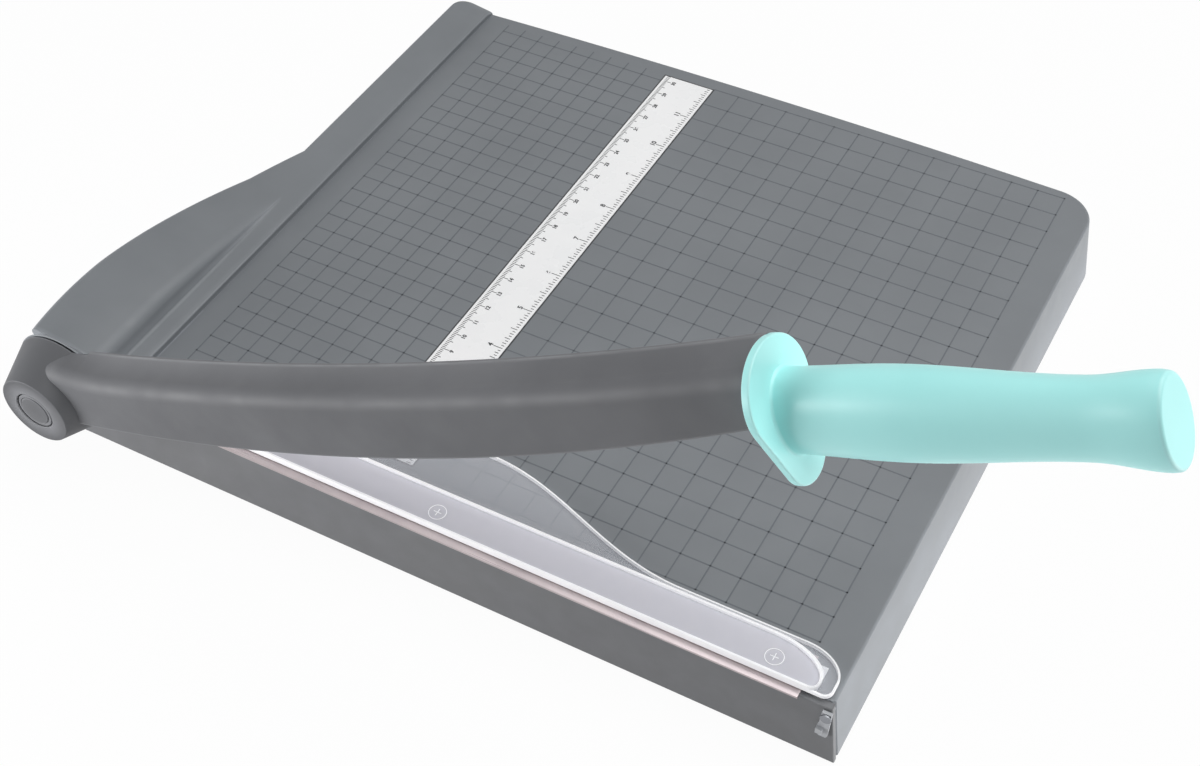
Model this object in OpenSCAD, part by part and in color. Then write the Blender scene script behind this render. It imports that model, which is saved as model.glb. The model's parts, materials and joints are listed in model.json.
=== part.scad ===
// Desk guillotine paper cutter: board with fence, fixed steel edge and a swinging blade arm.
// Millimetres, +Z up. The origin is the middle of the board on the table, X runs along the
// cutting edge away from the pivot, and Y runs away from the cutting edge.

/* [Base] */
// Width of the board along the cutting edge
board_w = 343; // [320:1:370]
// Depth of the board from the shear edge to the middle of the far edge
board_d = 313.3; // [295:0.1:335]
// Height of the moulded base above its feet
base_h = 34; // [30:1:40]
// How far the far edge bows out at its middle
back_bow = 3.4; // [1:0.2:6]
// How far the free side and the far side lean out towards the table
wall_draft = 3.4; // [1:0.2:5]
// Radius of the far free corner
corner_r = 19; // [10:1:30]
// Radius of the far corner beside the fence
fence_corner_r = 10; // [6:1:16]
// Thickness of the outer walls
wall_t = 2.6; // [2:0.2:4]
// Thickness of the deck
deck_t = 3; // [2.4:0.2:4]
// Thickness of the ribs under the deck
rib_t = 1.8; // [1.2:0.2:3]
// Wanted spacing of the ribs
rib_pitch = 42; // [36:1:44]
// Height of the chamfer round the top edge
edge_chamfer = 0.9; // [0.4:0.1:1.6]

/* [Feet] */
// Height of the rubber feet
foot_h = 2; // [1.5:0.5:4]
// Radius of the rubber feet
foot_r = 9; // [7:0.5:11]
// Radius of the plug on each foot
foot_plug_r = 5; // [3:0.5:6]
// Length of the plug on each foot
foot_plug_h = 5; // [3:0.5:8]
// Distance of the feet from the sides of the board
foot_inset = 30; // [30:1:40]

/* [Front rail] */
// Thickness of the front rail
rail_t = 3; // [2.4:0.2:4]
// Distance of the rail's face behind the shear plane
rail_set = 1.6; // [1:0.2:2.4]
// Depth of the rail's foot under the base
rail_foot_d = 12; // [10:1:16]
// Thickness of the rail's foot
rail_foot_t = 2.5; // [2:0.1:3.5]

/* [Fence] */
// Width of the fence
fence_w = 18.8; // [15:0.2:24]
// Height of the fence above the board
fence_h = 6.5; // [5:0.5:9]
// Width of the flat ledge beside the pivot pod
ledge_w = 8.8; // [7:0.2:11]
// How far the pod swells out past the fence side of the board
pod_out = 27; // [24:0.5:30]
// Height of the pod's shoulder above the fence
pod_rise = 6.5; // [6:0.1:9]
// Slope of the pod's top down towards the board, in degrees
pod_lean = 10; // [8:0.5:14]
// Height of the crown over the pod's top
pod_crown = 2; // [1.8:0.1:4]
// Radius of the pod's shoulder beside the ledge
pod_shoulder_r = 4; // [2:0.5:5]
// Radius of the pod's outer edge
pod_edge_r = 3; // [2:0.5:5]
// How far the pod's outer wall leans in towards the table
pod_toe_in = 12.5; // [8:0.5:14]
// Distance from the shear plane back to the widest part of the pod
pod_full = 34.6; // [28:0.2:40]
// Distance from the shear plane back to where the pod's shoulder runs out
pod_rise_end = 136.6; // [120:0.2:150]
// Distance from the shear plane back to the tail of the pod
pod_tail = 166.6; // [155:0.2:200]
// Radius of the boss at its seam with the knuckle
seam_r = 24.6; // [23.5:0.1:25.5]
// Radius of the boss where its cone meets the pod
boss_root_r = 10; // [9:0.5:14]
// Length of the corner of the base that the housing fills
notch_len = 60; // [56:1:80]

/* [Fixed edge] */
// Width of the steel strip
knife_w = 20; // [16:1:24]
// Thickness of the steel strip
knife_t = 1.6; // [1.6:0.1:2.4]
// Distance from the strip's end to the free side of the board
knife_end = 13; // [11:0.5:18]
// Head radius of the strip's screws
knife_screw_r = 3.4; // [2.6:0.1:4]
// Distance of the strip's screws behind the shear plane
knife_screw_set = 10.6; // [8:0.2:12]

/* [Finger guard] */
// Height of the paper gap under the guard
guard_lift = 1.4; // [1:0.1:2]
// Thickness of the clear plate
guard_t = 1.8; // [1.4:0.1:2.4]
// Distance of the guard's front lip behind the shear plane
guard_set = 5.6; // [4:0.2:8]
// Width of the guard's tray
tray_w = 15; // [12:0.5:18]
// Height of the rim round the tray
rim_h = 2.4; // [1.5:0.1:4]
// Thickness of the rim round the tray
rim_t = 1.6; // [1.2:0.1:2.4]
// How far the wavy sheet reaches back past the tray at its middle
sheet_reach = 26; // [15:1:35]
// Half the length of the wave
sheet_half = 98; // [70:1:120]
// Distance from the free side of the board to the guard's end
guard_end = 1.9; // [1.5:0.1:3]

/* [Rule] */
// Width of the rule
rule_w = 26; // [20:1:30]
// Thickness of the rule
rule_t = 0.8; // [0.6:0.1:1.2]
// Depth that the rule is let into the board
rule_sunk = 0.6; // [0.3:0.1:1]
// Distance of the rule's fence side from the fence
rule_from_fence = 104; // [60:1:140]
// Distance from the shear plane to the near end of the rule
rule_near = 28; // [25:1:60]
// Distance from the shear plane to the far end of the rule
rule_far = 304.4; // [250:0.1:304.8]

/* [Pivot] */
// Distance of the pivot outside the fence side of the board
pivot_out = 1.5; // [0:0.1:4]
// Height of the pivot above the board
pivot_rise = 6.6; // [5:0.1:9]
// How far the boss stands in front of the shear plane
boss_proud = 4.1; // [3:0.1:5]
// Gap between the boss and the knuckle
seam_gap = 0.6; // [0.3:0.1:1]
// Reach of the knuckle in front of the shear plane
knuckle_reach = 24.6; // [22:0.1:28]
// Radius of the knuckle at the seam
knuckle_r = 23.4; // [22:0.1:24]
// Radius of the knuckle at its outer face
knuckle_cap_r = 16.5; // [14:0.1:18]
// Radius of the round cap
cap_r = 8.5; // [7.5:0.1:9.5]
// Thickness of the round cap
cap_t = 3.6; // [3:0.1:4.5]
// Radius of the pivot bolt
bolt_r = 5; // [4.5:0.1:5.4]
// Thickness of the bolt's head
bolt_head_t = 5; // [4:0.1:6]
// Outer radius of the bush
bush_r = 6.8; // [6.2:0.1:7]
// Length of the bush behind the shear plane
bush_len = 20; // [16:1:26]

/* [Arm] */
// How far the arm stands open at rest, in degrees
rest_angle = 26; // [15:1:26]
// Distance of the hand flange past the free side of the board
flange_past = 6.5; // [5:0.1:12]
// Thickness of the arm
arm_t = 16.6; // [14:0.1:19]
// Height of the top edge over the pivot line at its lowest point
top_low = 6.6; // [4:0.1:8]
// Distance of that point from the pivot
top_mid = 172; // [150:1:190]
// Radius of the top edge
top_radius = 1500; // [1300:10:2000]
// Depth of the belly under the pivot line at its lowest point
belly_low = 25.2; // [23:0.1:27]
// Distance of that point from the pivot
belly_mid = 165; // [150:1:180]
// Radius of the belly
belly_radius = 910; // [800:10:1100]
// Drop from the top edge to the ridge on the outer side
ridge_drop = 2.6; // [1:0.1:4]
// Depth of the hollow between the top edge and the ridge
hollow_depth = 2.4; // [1:0.1:3.5]

/* [Blade] */
// Thickness of the blade
blade_t = 2; // [1.5:0.1:2.5]
// Depth of the cutting edge under the belly
blade_below = 4.5; // [3:0.1:6]
// Height of the blade
blade_h = 22; // [18:0.5:24]
// Distance from the pivot to the start of the blade
blade_start = 30; // [29:1:40]
// Number of blade screws
blade_screw_n = 4; // [3:1:6]

/* [Grip] */
// Length of the grip past the arm
grip_len = 118; // [100:1:130]
// Depth of the grip's axis under the pivot line with the arm closed
grip_low = 6.8; // [5:0.1:8]
// Half height of the grip's oval at the flange
grip_a = 14.6; // [13.5:0.1:16]
// Half width of the grip's oval at the flange
grip_b = 10.2; // [9:0.1:12]
// Drop of the grip's axis from the flange to its end
grip_fall = 1.9; // [0:0.1:4]
// Offset of the grip's axis from the middle of the arm towards the board
grip_in = 1.4; // [0:0.1:3]
// Thickness of the hand flange
flange_t = 4.4; // [4:0.1:6]
// Radius of the flange's upper round
flange_top_r = 17.1; // [16:0.1:19]
// Radius of the flange's lower round
flange_low_r = 11.4; // [10:0.1:13]
// Distance between the two rounds of the flange
flange_span = 22; // [18:0.1:24]
// Height of the flange's upper round over the grip's axis
flange_rise = 8.5; // [7:0.1:10]
// Thickness of the steel tang
tang_t = 6; // [5:0.1:7]
// Height of the steel tang
tang_h = 7; // [6:0.1:7.5]

/* [Latch] */
// Thickness of the latch plate
hook_t = 1.4; // [1:0.1:1.6]
// Radius of the latch pivot
hook_pin_r = 1.5; // [1.2:0.1:1.8]
// Thickness of the keeper plate
keeper_t = 1.6; // [1.2:0.1:1.8]
// Width of the keeper plate
keeper_w = 7; // [6:0.1:7.4]

/* [Hidden] */
$fn = 64;

// Clearances: a seat that is slid together, a pin that turns, and a cut that runs past a face
fit = 0.05;
run = 0.04;
past = 1;
// Thickness of the slices that span a hull
slice = 0.01;

// Planes and axes of the base
deck_z = foot_h + base_h;
left_x = -board_w / 2;
right_x = board_w / 2;
shear_y = -board_d / 2;
far_y = board_d / 2;
rail_y = shear_y + rail_set;
near_y = rail_y + rail_t;
fence_x = left_x + fence_w;
fence_z = deck_z + fence_h;
pod_foot_x = fence_x - ledge_w;
notch_y = shear_y + notch_len;
knife_end_x = right_x - knife_end;
knife_z = deck_z - knife_t;
pivot_x = left_x - pivot_out;
pivot_z = deck_z + pivot_rise;
seam_y = shear_y - boss_proud;
knuckle_y = seam_y - seam_gap;
cap_y = shear_y - knuckle_reach;
blade_gap = 0.05;
blade_y = shear_y - blade_gap;
arm_in_y = blade_y - blade_t;
arm_mid_y = arm_in_y - arm_t / 2;

// Rib grid under the deck
cols = round(board_w / rib_pitch);
rows = round((far_y - near_y) / rib_pitch);
col_w = board_w / cols;
row_d = (far_y - near_y) / rows;
front_row_top = knife_z - deck_t;

// Places of the feet and screws
foot_xs = [left_x + foot_inset, right_x - foot_inset];
foot_ys = [shear_y + foot_inset + rail_foot_d, far_y - foot_inset - back_bow];
foot_places = concat([for (x = foot_xs) for (y = foot_ys) [x, y]], [[0, 0]]);
foot_post_r = foot_r + 2;
knife_screw_xs = [left_x + 27.8, 0.4, right_x - 26.9];
knife_screw_y = shear_y + knife_screw_set;
knife_shank_r = 1.8;
knife_screw_len = 14;
knife_post_r = 5;
rail_foot_z = foot_h + rail_foot_t;
rail_foot_end_x = right_x - wall_t - 2;
rail_screw_xs = [for (i = [-1.5 : 1 : 1.5]) i * board_w / 4];
rail_screw_y = near_y + 0.55 * rail_foot_d;
rail_screw_r = 3;
rail_shank_r = 1.5;
rail_screw_len = 14;
rail_post_r = 4.2;
housing_screw_x = left_x + 0.5 * fence_w;
housing_screw_ys = [for (j = [2, 4, 6]) near_y + (j + 0.5) * row_d];
housing_shank_r = 1.6;
housing_head_r = 3.2;
housing_head_t = 2.2;
housing_cover = 3;

// Pivot stack behind the shear plane
bush_front_y = seam_y + 1.6;
bush_back_y = shear_y + bush_len;
bush_flange_t = 2;
bush_flange_r = bush_r + 1.3;
pocket_r = bush_flange_r + 0.4;
spring_t = 1.1;
spring_rise = 0.5;
spring_n = 4;
spring_y = bush_back_y + bush_flange_t;
spring_pitch = spring_t + spring_rise + fit;
spring_stack = spring_n * spring_pitch + fit;
nut_y = spring_y + spring_stack;
nut_t = 8;
nut_r = 7.5;
thread_r = bolt_r - 1;
bolt_end_y = nut_y + nut_t + 2;
pocket_y = bolt_end_y + 4;
washer_t = 1.2;
thrust_r = bush_r + 5;
thrust_t = bush_front_y - seam_y - fit;
head_y = cap_y + cap_t + 0.4;
head_seat_y = head_y + bolt_head_t + washer_t;

// Pod sections: the tail starts inside the fence and swells out and up towards the pivot
pod_full_y = shear_y + pod_full;
pod_rise_y = shear_y + pod_rise_end;
pod_high_y = pod_rise_y - 88;
pod_tail_y = shear_y + pod_tail;
pod_draw = 2.2;
pod_ease = 1.8;
rise_ease = 1.25;
sink = 0.4;
pod_low_z = fence_z - 1.7;
boss_back_y = near_y + 4;
relief_r = seam_r + 2;

// Grip and tang on the arm's own axes, as distances from the pivot
flange_s = right_x - pivot_x + flange_past;
grip_end_s = flange_s + grip_len;
tang_root_s = flange_s - 38;
tang_tip_s = grip_end_s - 20;

// Latch and keeper, on the closed arm
keeper_x = knife_end_x + 1;
keeper_low_z = deck_z - 17.5;
keeper_top_z = pivot_z + 6;
catch_low_z = keeper_low_z + 4.5;
catch_high_z = catch_low_z + 7;
hook_x = right_x - 1.3;
hook_z = deck_z - 4.6;
hook_back_y = rail_y - 0.3;
hook_front_y = hook_back_y - hook_t;
nose_y = arm_in_y + 0.35;

// Points of an arc, in equal steps
function arc(c, r, from, to, n) =
    [for (i = [0 : n]) let (a = from + (to - from) * i / n) c + r * [cos(a), sin(a)]];
// Far edge of the deck at x
function bow_y(x) = far_y - back_bow * pow(2 * x / board_w, 2);
// Deck outline, grown on the free and far sides and drawn in on the near and fence sides
function deck_outline(grow, inset) = let (
    right = right_x + grow,
    left = left_x + inset,
    rx = right - corner_r,
    lx = left + fence_corner_r)
    concat(
        [[left, near_y + inset], [right, near_y + inset]],
        arc([rx, bow_y(rx) + grow - corner_r], corner_r, 0, 86, 8),
        [for (i = [1 : 9]) let (x = rx + (lx - rx) * i / 10) [x, bow_y(x) + grow]],
        arc([lx, bow_y(lx) + grow - fence_corner_r], fence_corner_r, 94, 180, 6));
// Value eased between knots of [place, value], level at each knot
function eased(t, knots) = let (
    k = max([for (i = [0 : len(knots) - 2]) if (t >= knots[i][0]) i]),
    u = (t - knots[k][0]) / (knots[k + 1][0] - knots[k][0]))
    knots[k][1] + (knots[k + 1][1] - knots[k][1]) * (0.5 - 0.5 * cos(180 * min(u, 1)));

// Middle of a ring of points
function middle(ring) = [for (p = ring) 1] * ring / len(ring);
// Solid through rings of points, each ring wound the same way, with a fan at each end
module loft(rings) {
    n = len(rings[0]);
    m = len(rings);
    polyhedron(
        points = concat([for (ring = rings) each ring], [middle(rings[0]), middle(rings[m - 1])]),
        faces = [for (j = [0 : n - 1]) let (k = (j + 1) % n)
            each concat(
                [[m * n, j, k]],
                [for (i = [0 : m - 2])
                    each [[i * n + k, i * n + j, (i + 1) * n + k], [i * n + j, (i + 1) * n + j, (i + 1) * n + k]]],
                [[m * n + 1, (m - 1) * n + k, (m - 1) * n + j]])],
        convexity = 6);
}

// Flat outline stood up in the XZ plane, from front_y back over a thickness
module upright(front_y, thickness) {
    translate([0, front_y + thickness, 0])
        rotate([90, 0, 0])
            linear_extrude(thickness) children();
}

// Rod along Y at x, z
module rod(x, z, from_y, to_y, r) {
    translate([x, to_y, z])
        rotate([90, 0, 0])
            cylinder(h = to_y - from_y, r = r);
}

// Rod on the pivot axis
module pivot_rod(from_y, to_y, r) {
    rod(pivot_x, pivot_z, from_y, to_y, r);
}

// Moves a shape from the closed arm's own axes to the open arm
module on_arm() {
    translate([pivot_x, 0, pivot_z])
        rotate([0, -rest_angle, 0]) children();
}

// Countersunk screw pointing down from the origin, with a cross recess
module sunk_screw(head_r, shank_r, length) {
    difference() {
        union() {
            translate([0, 0, shank_r - head_r])
                cylinder(h = head_r - shank_r, r1 = shank_r, r2 = head_r);
            translate([0, 0, -length])
                cylinder(h = length - (head_r - shank_r), r = shank_r);
        }
        for (turn = [0, 90])
            rotate([0, 0, turn])
                translate([-0.6 * head_r, -0.12 * head_r, -0.35 * head_r])
                    cube([1.2 * head_r, 0.24 * head_r, head_r]);
    }
}

// Hole for that screw, with the same cone
module sunk_hole(head_r, shank_r, length) {
    translate([0, 0, shank_r - head_r - fit])
        cylinder(h = head_r - shank_r + fit, r1 = shank_r + fit, r2 = head_r + 2 * fit);
    translate([0, 0, -length])
        cylinder(h = length, r = shank_r + fit);
    cylinder(h = past, r = head_r + 2 * fit);
}

// Outer block of the base: leaning walls and a chamfered top edge
module base_block() {
    hull() {
        translate([0, 0, foot_h])
            linear_extrude(slice) polygon(deck_outline(wall_draft, 0));
        translate([0, 0, deck_z - edge_chamfer - slice])
            linear_extrude(slice) polygon(deck_outline(0, 0));
        translate([0, 0, deck_z - slice])
            linear_extrude(slice) polygon(deck_outline(-edge_chamfer, 0));
    }
}

// Open cells between the ribs
module base_cells() {
    intersection() {
        translate([0, 0, -past])
            linear_extrude(deck_z)
                difference() {
                    polygon(deck_outline(-wall_t, wall_t));
                    translate([left_x, near_y])
                        square([fence_w + wall_t, notch_y + wall_t - near_y]);
                }
        for (i = [0 : cols - 1])
            for (j = [0 : rows - 1])
                translate([left_x + i * col_w + rib_t / 2, near_y + j * row_d + rib_t / 2, -past])
                    cube([col_w - rib_t, row_d - rib_t,
                        past + (j == 0 ? front_row_top : deck_z - deck_t)]);
    }
}

module base_shell() {
    color("#75797d") difference() {
        union() {
            difference() {
                base_block();
                base_cells();
            }
            for (p = foot_places)
                translate([p[0], p[1], foot_h])
                    cylinder(h = base_h - deck_t / 2, r = foot_post_r);
            for (x = knife_screw_xs)
                translate([x, knife_screw_y, knife_z - knife_screw_len])
                    cylinder(h = knife_screw_len - deck_t / 2, r = knife_post_r);
            for (x = rail_screw_xs)
                translate([x, rail_screw_y, rail_foot_z])
                    cylinder(h = front_row_top - rail_foot_z + deck_t / 2, r = rail_post_r);
        }
        translate([left_x - past, near_y - past, -past])
            cube([fence_w + past, notch_y - near_y + past, deck_z + 2 * past]);
        translate([fence_x - past, near_y - past, knife_z])
            cube([knife_end_x + fit - fence_x + past, shear_y + knife_w + fit - near_y + past, knife_t + past]);
        translate([left_x - past, near_y - past, -past])
            cube([rail_foot_end_x + fit - left_x + past, rail_foot_d + fit + past, rail_foot_z + past]);
        translate([fence_x + rule_from_fence - fit, shear_y + rule_near - fit, deck_z - rule_sunk])
            cube([rule_w + 2 * fit, rule_far - rule_near + 2 * fit, rule_sunk + past]);
        for (p = foot_places)
            translate([p[0], p[1], -past])
                cylinder(h = foot_h + foot_plug_h + fit + past, r = foot_plug_r + fit);
        for (x = knife_screw_xs)
            translate([x, knife_screw_y, deck_z])
                sunk_hole(knife_screw_r, knife_shank_r, knife_screw_len);
        for (x = rail_screw_xs)
            translate([x, rail_screw_y, foot_h])
                cylinder(h = rail_screw_len, r = rail_shank_r + fit);
        for (y = housing_screw_ys)
            translate([housing_screw_x, y, deck_z - deck_t - past])
                cylinder(h = deck_t + 2 * past, r = housing_shank_r + fit);
        guard_peg(fit);
        rod(hook_x, hook_z, near_y - past, near_y + wall_t, hook_pin_r + fit);
    }
}

// Rail section: a panel with a foot under the base, and a recess behind the keeper
module front_rail() {
    lean = wall_draft * (base_h - knife_t) / base_h;
    right_low = right_x + wall_draft;
    recess = 1.4;
    color("#6e6f72") difference() {
        union() {
            upright(rail_y, rail_t)
                polygon([[fence_x + fit, foot_h], [right_low, foot_h], [right_low - lean, knife_z],
                    [fence_x + fit, knife_z]]);
            translate([fence_x + fit, near_y - fit, foot_h])
                cube([rail_foot_end_x - fence_x - fit, rail_foot_d + fit, rail_foot_t]);
        }
        translate([keeper_x - 0.6, rail_y - past, keeper_low_z - 2])
            cube([keeper_w + 1.2, recess + past, base_h]);
        for (x = rail_screw_xs)
            translate([x, rail_screw_y, foot_h])
                mirror([0, 0, 1])
                    sunk_hole(rail_screw_r, rail_shank_r, rail_screw_len);
        rod(hook_x, hook_z, rail_y - past, near_y + past, hook_pin_r + fit);
    }
}

// Outer edge of the pod at y, just inside the fence's wall at the tail
function pod_left(y) = let (u = min(1, (y - pod_full_y) / (pod_tail_y - pod_full_y)))
    y < pod_full_y
        ? left_x - pod_out + pod_draw * pow((pod_full_y - y) / (pod_full_y - near_y), 2)
        : left_x + sink - (pod_out + sink) * (1 - pow(u, pod_ease));
// Share of the shoulder's height that the pod has reached at y
function pod_share(y) = let (t = max(0, min(1, (pod_rise_y - y) / (pod_rise_y - pod_high_y))))
    1 - pow(1 - t, rise_ease);
// Height of the pod's top at x, leaning towards the board under its crown
function pod_top(x, y) = let (v = (pod_foot_x - x) / (pod_foot_x - pod_left(y)))
    pod_low_z + (fence_z + pod_rise - pod_low_z + 4 * pod_crown * v * (1 - v)) * pod_share(y)
        + tan(pod_lean) * (pod_foot_x - x);
// One cross-section of the pod, from its shoulder over the top and down the outer wall
function pod_ring(y) = let (
    left = pod_left(y),
    k = (left_x + sink - left) / (pod_out + sink),
    r = min(pod_shoulder_r, 0.5 + pod_shoulder_r * pod_share(y)),
    e = min(pod_edge_r, 0.5 + pod_edge_r * k),
    brow_x = pod_foot_x - 0.6 - r,
    edge_x = left + e,
    brow_z = pod_top(brow_x, y) - r,
    edge_z = pod_top(edge_x, y) - e)
    concat(
        [[pod_foot_x, y, foot_h], [pod_foot_x, y, min(fence_z - sink, brow_z - sink)]],
        [for (p = arc([brow_x, brow_z], r, 0, 90, 5)) [p[0], y, p[1]]],
        [for (i = [1 : 8]) let (x = brow_x + (edge_x - brow_x) * i / 9) [x, y, pod_top(x, y)]],
        [for (p = arc([edge_x, edge_z], e, 90, 180, 5)) [p[0], y, p[1]]],
        [[left + pod_toe_in * k, y, foot_h]]);

module fence_housing() {
    stations = 24;
    boss_round = 0.6;
    toe_x = pod_left(near_y) + pod_toe_in;
    slot_half = 0.9 * pocket_r;
    color("#75797d") difference() {
        union() {
            translate([0, 0, deck_z])
                linear_extrude(fence_h)
                    intersection() {
                        polygon(deck_outline(0, 0));
                        translate([left_x - past, shear_y])
                            square([fence_w + past, board_d]);
                    }
            translate([left_x, shear_y, deck_z])
                cube([fence_w, near_y - shear_y + past, fence_h]);
            loft([for (i = [0 : stations])
                pod_ring(pod_tail_y + (near_y - pod_tail_y) * i / stations)]);
            translate([pivot_x, 0, pivot_z])
                rotate([90, 0, 0])
                    rotate_extrude()
                        polygon([[0, -boss_back_y], [boss_root_r, -boss_back_y], [seam_r, -shear_y],
                            [seam_r, -seam_y - boss_round], [seam_r - boss_round, -seam_y], [0, -seam_y]]);
            translate([left_x, rail_y, foot_h])
                cube([fence_w, notch_len, deck_z - foot_h + past]);
            translate([toe_x, rail_y, foot_h])
                cube([fence_x - toe_x, near_y - rail_y + past, knife_z - foot_h]);
        }
        translate([left_x, notch_y, -past])
            cube([board_w, board_d, deck_z + past]);
        pivot_rod(seam_y - past, bush_back_y + past, bush_r + fit);
        pivot_rod(seam_y - past, bush_front_y, thrust_r + fit);
        pivot_rod(bush_back_y, pocket_y, pocket_r);
        translate([pivot_x - slot_half, bush_back_y, -past])
            cube([2 * slot_half, pocket_y - bush_back_y, pivot_z + past]);
        for (y = housing_screw_ys)
            translate([housing_screw_x, y, deck_z - past])
                cylinder(h = fence_h, r = housing_shank_r + fit);
        translate([fence_x - tongue_len - fit, shear_y + guard_set - fit, deck_z + guard_lift])
            cube([tongue_len + past, tray_w + 2 * fit, guard_t + fit]);
    }
}

module bed_knife() {
    color("#c9c4c6") difference() {
        translate([fence_x + fit, shear_y, knife_z])
            cube([knife_end_x - fence_x - fit, knife_w, knife_t]);
        for (x = knife_screw_xs)
            translate([x, knife_screw_y, deck_z])
                sunk_hole(knife_screw_r, knife_shank_r, knife_screw_len);
    }
}

module bed_knife_screws() {
    color("#d6d6da")
        for (x = knife_screw_xs)
            translate([x, knife_screw_y, deck_z])
                sunk_screw(knife_screw_r, knife_shank_r, knife_screw_len);
}

// Guard tray: round at its free end
tray_front_y = shear_y + guard_set;
tray_back_y = tray_front_y + tray_w;
guard_end_x = right_x - guard_end;
tray_front_r = 0.25 * tray_w;
tray_back_r = 0.7 * tray_w;
tongue_len = 3.4;
rim_end = 2.4;
tray_start_x = fence_x + 0.6;
sheet_mid_x = (fence_x + knife_end_x) / 2;
guard_plate_z = deck_z + guard_lift;
guard_foot_x = knife_end_x + 1.2;
peg_r = 2;
peg_h = 2.4;

module tray(inset, end) {
    e = guard_end_x - end;
    polygon(concat(
        [[tray_start_x + inset, tray_back_y - inset], [tray_start_x + inset, tray_front_y + inset]],
        arc([e - tray_front_r, tray_front_y + tray_front_r], tray_front_r - inset, -90, 0, 5),
        arc([e - tray_back_r, tray_back_y - tray_back_r], tray_back_r - inset, 0, 90, 8)));
}

// Peg that fixes the guard's foot in the board
module guard_peg(gap) {
    translate([guard_foot_x + peg_r + 1, tray_front_y + tray_w / 2, deck_z - peg_h - gap])
        cylinder(h = peg_h + guard_lift, r = peg_r + gap);
}

module finger_guard() {
    wave_n = 28;
    sheet_end_x = guard_end_x - tray_back_r;
    sheet_min = 2.4;
    color("#c8d2dc", 0.45) union() {
        translate([0, 0, guard_plate_z]) {
            linear_extrude(guard_t) {
                tray(0, 0);
                polygon(concat(
                    [[sheet_end_x, tray_back_y - rim_t], [sheet_end_x, tray_back_y + sheet_min]],
                    [for (i = [wave_n : -1 : -wave_n]) let (u = i / wave_n)
                        [sheet_mid_x + sheet_half * u,
                            tray_back_y + sheet_min + (sheet_reach - sheet_min) * (0.5 + 0.5 * cos(180 * u))]],
                    [[tray_start_x, tray_back_y + sheet_min], [tray_start_x, tray_back_y - rim_t]]));
            }
            linear_extrude(guard_t + rim_h)
                difference() {
                    tray(0, rim_end);
                    tray(rim_t, rim_end);
                }
        }
        translate([fence_x - tongue_len, tray_front_y, guard_plate_z])
            cube([tongue_len + 1, tray_w, guard_t]);
        translate([0, 0, deck_z])
            linear_extrude(guard_lift + fit)
                intersection() {
                    tray(0, rim_end);
                    translate([guard_foot_x, shear_y])
                        square(board_w);
                }
        guard_peg(0);
    }
}

module rule_plate() {
    color("#f2f3f3")
        translate([fence_x + rule_from_fence, shear_y + rule_near, deck_z - rule_sunk])
            cube([rule_w, rule_far - rule_near, rule_t]);
}

module rubber_feet() {
    color("#2b2c2e")
        for (p = foot_places)
            translate([p[0], p[1], 0]) {
                cylinder(h = foot_h, r = foot_r);
                cylinder(h = foot_h + foot_plug_h, r = foot_plug_r);
            }
}

module housing_screws() {
    under_z = deck_z - deck_t;
    color("#b9babd")
        for (y = housing_screw_ys)
            translate([housing_screw_x, y, under_z]) {
                translate([0, 0, -housing_head_t])
                    cylinder(h = housing_head_t, r = housing_head_r);
                cylinder(h = deck_t + fence_h - housing_cover, r = housing_shank_r);
            }
}

module rail_screws() {
    color("#b9babd")
        for (x = rail_screw_xs)
            translate([x, rail_screw_y, foot_h])
                mirror([0, 0, 1])
                    sunk_screw(rail_screw_r, rail_shank_r, rail_screw_len - fit);
}

module pivot_bush() {
    color("#b08d4a") difference() {
        union() {
            pivot_rod(bush_front_y, bush_back_y, bush_r);
            pivot_rod(bush_back_y, spring_y, bush_flange_r);
        }
        pivot_rod(bush_front_y - past, spring_y + past, bolt_r + run);
    }
}

module thrust_washer() {
    color("#e6e4dc") difference() {
        pivot_rod(knuckle_y, bush_front_y, thrust_r);
        pivot_rod(knuckle_y - past, bush_front_y + past, bolt_r + run);
    }
}

module pivot_bolt() {
    color("#a9abaf") difference() {
        union() {
            pivot_rod(head_y, head_y + bolt_head_t, cap_r - 0.6);
            pivot_rod(head_y, nut_y, bolt_r);
            pivot_rod(head_y, bolt_end_y, thread_r);
        }
        translate([pivot_x, head_y + 3, pivot_z])
            rotate([90, 0, 0])
                cylinder(h = 3 + past, r = 3.4, $fn = 6);
    }
}

module head_washer() {
    color("#b9babd") difference() {
        pivot_rod(head_seat_y - washer_t, head_seat_y, cap_r - 0.2);
        pivot_rod(cap_y, head_seat_y + past, bolt_r + run);
    }
}

// Conical spring washers, stacked with their hollow sides together
module disc_springs() {
    inner = bolt_r + 2 * fit;
    outer = bush_flange_r - 0.5;
    color("#8f9094")
        for (i = [0 : spring_n - 1]) {
            low = i % 2 == 0 ? spring_rise : 0;
            translate([pivot_x, spring_y + (i + 1) * spring_pitch, pivot_z])
                rotate([90, 0, 0])
                    rotate_extrude()
                        polygon([[inner, low], [outer, spring_rise - low], [outer, spring_rise - low + spring_t],
                            [inner, low + spring_t]]);
        }
}

module lock_nut() {
    color("#b9babd") difference() {
        translate([pivot_x, nut_y + nut_t, pivot_z])
            rotate([90, 0, 0])
                cylinder(h = nut_t, r = nut_r, $fn = 6);
        pivot_rod(nut_y - past, nut_y + nut_t + past, thread_r + fit);
    }
}

// Cap with a ring groove round its raised middle
module pivot_cap() {
    groove_r = cap_r - 1.6;
    color("#66686b") difference() {
        pivot_rod(cap_y, cap_y + cap_t, cap_r);
        difference() {
            pivot_rod(cap_y - past, cap_y + 0.7, cap_r + past);
            pivot_rod(cap_y - past, cap_y + 0.7, groove_r);
        }
    }
}

// Edges of the arm over and under the pivot line, at s from the pivot
function arm_top(s) = top_low + pow(s - top_mid, 2) / (2 * top_radius);
function arm_belly(s) = -belly_low + pow(s - belly_mid, 2) / (2 * belly_radius);
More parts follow.
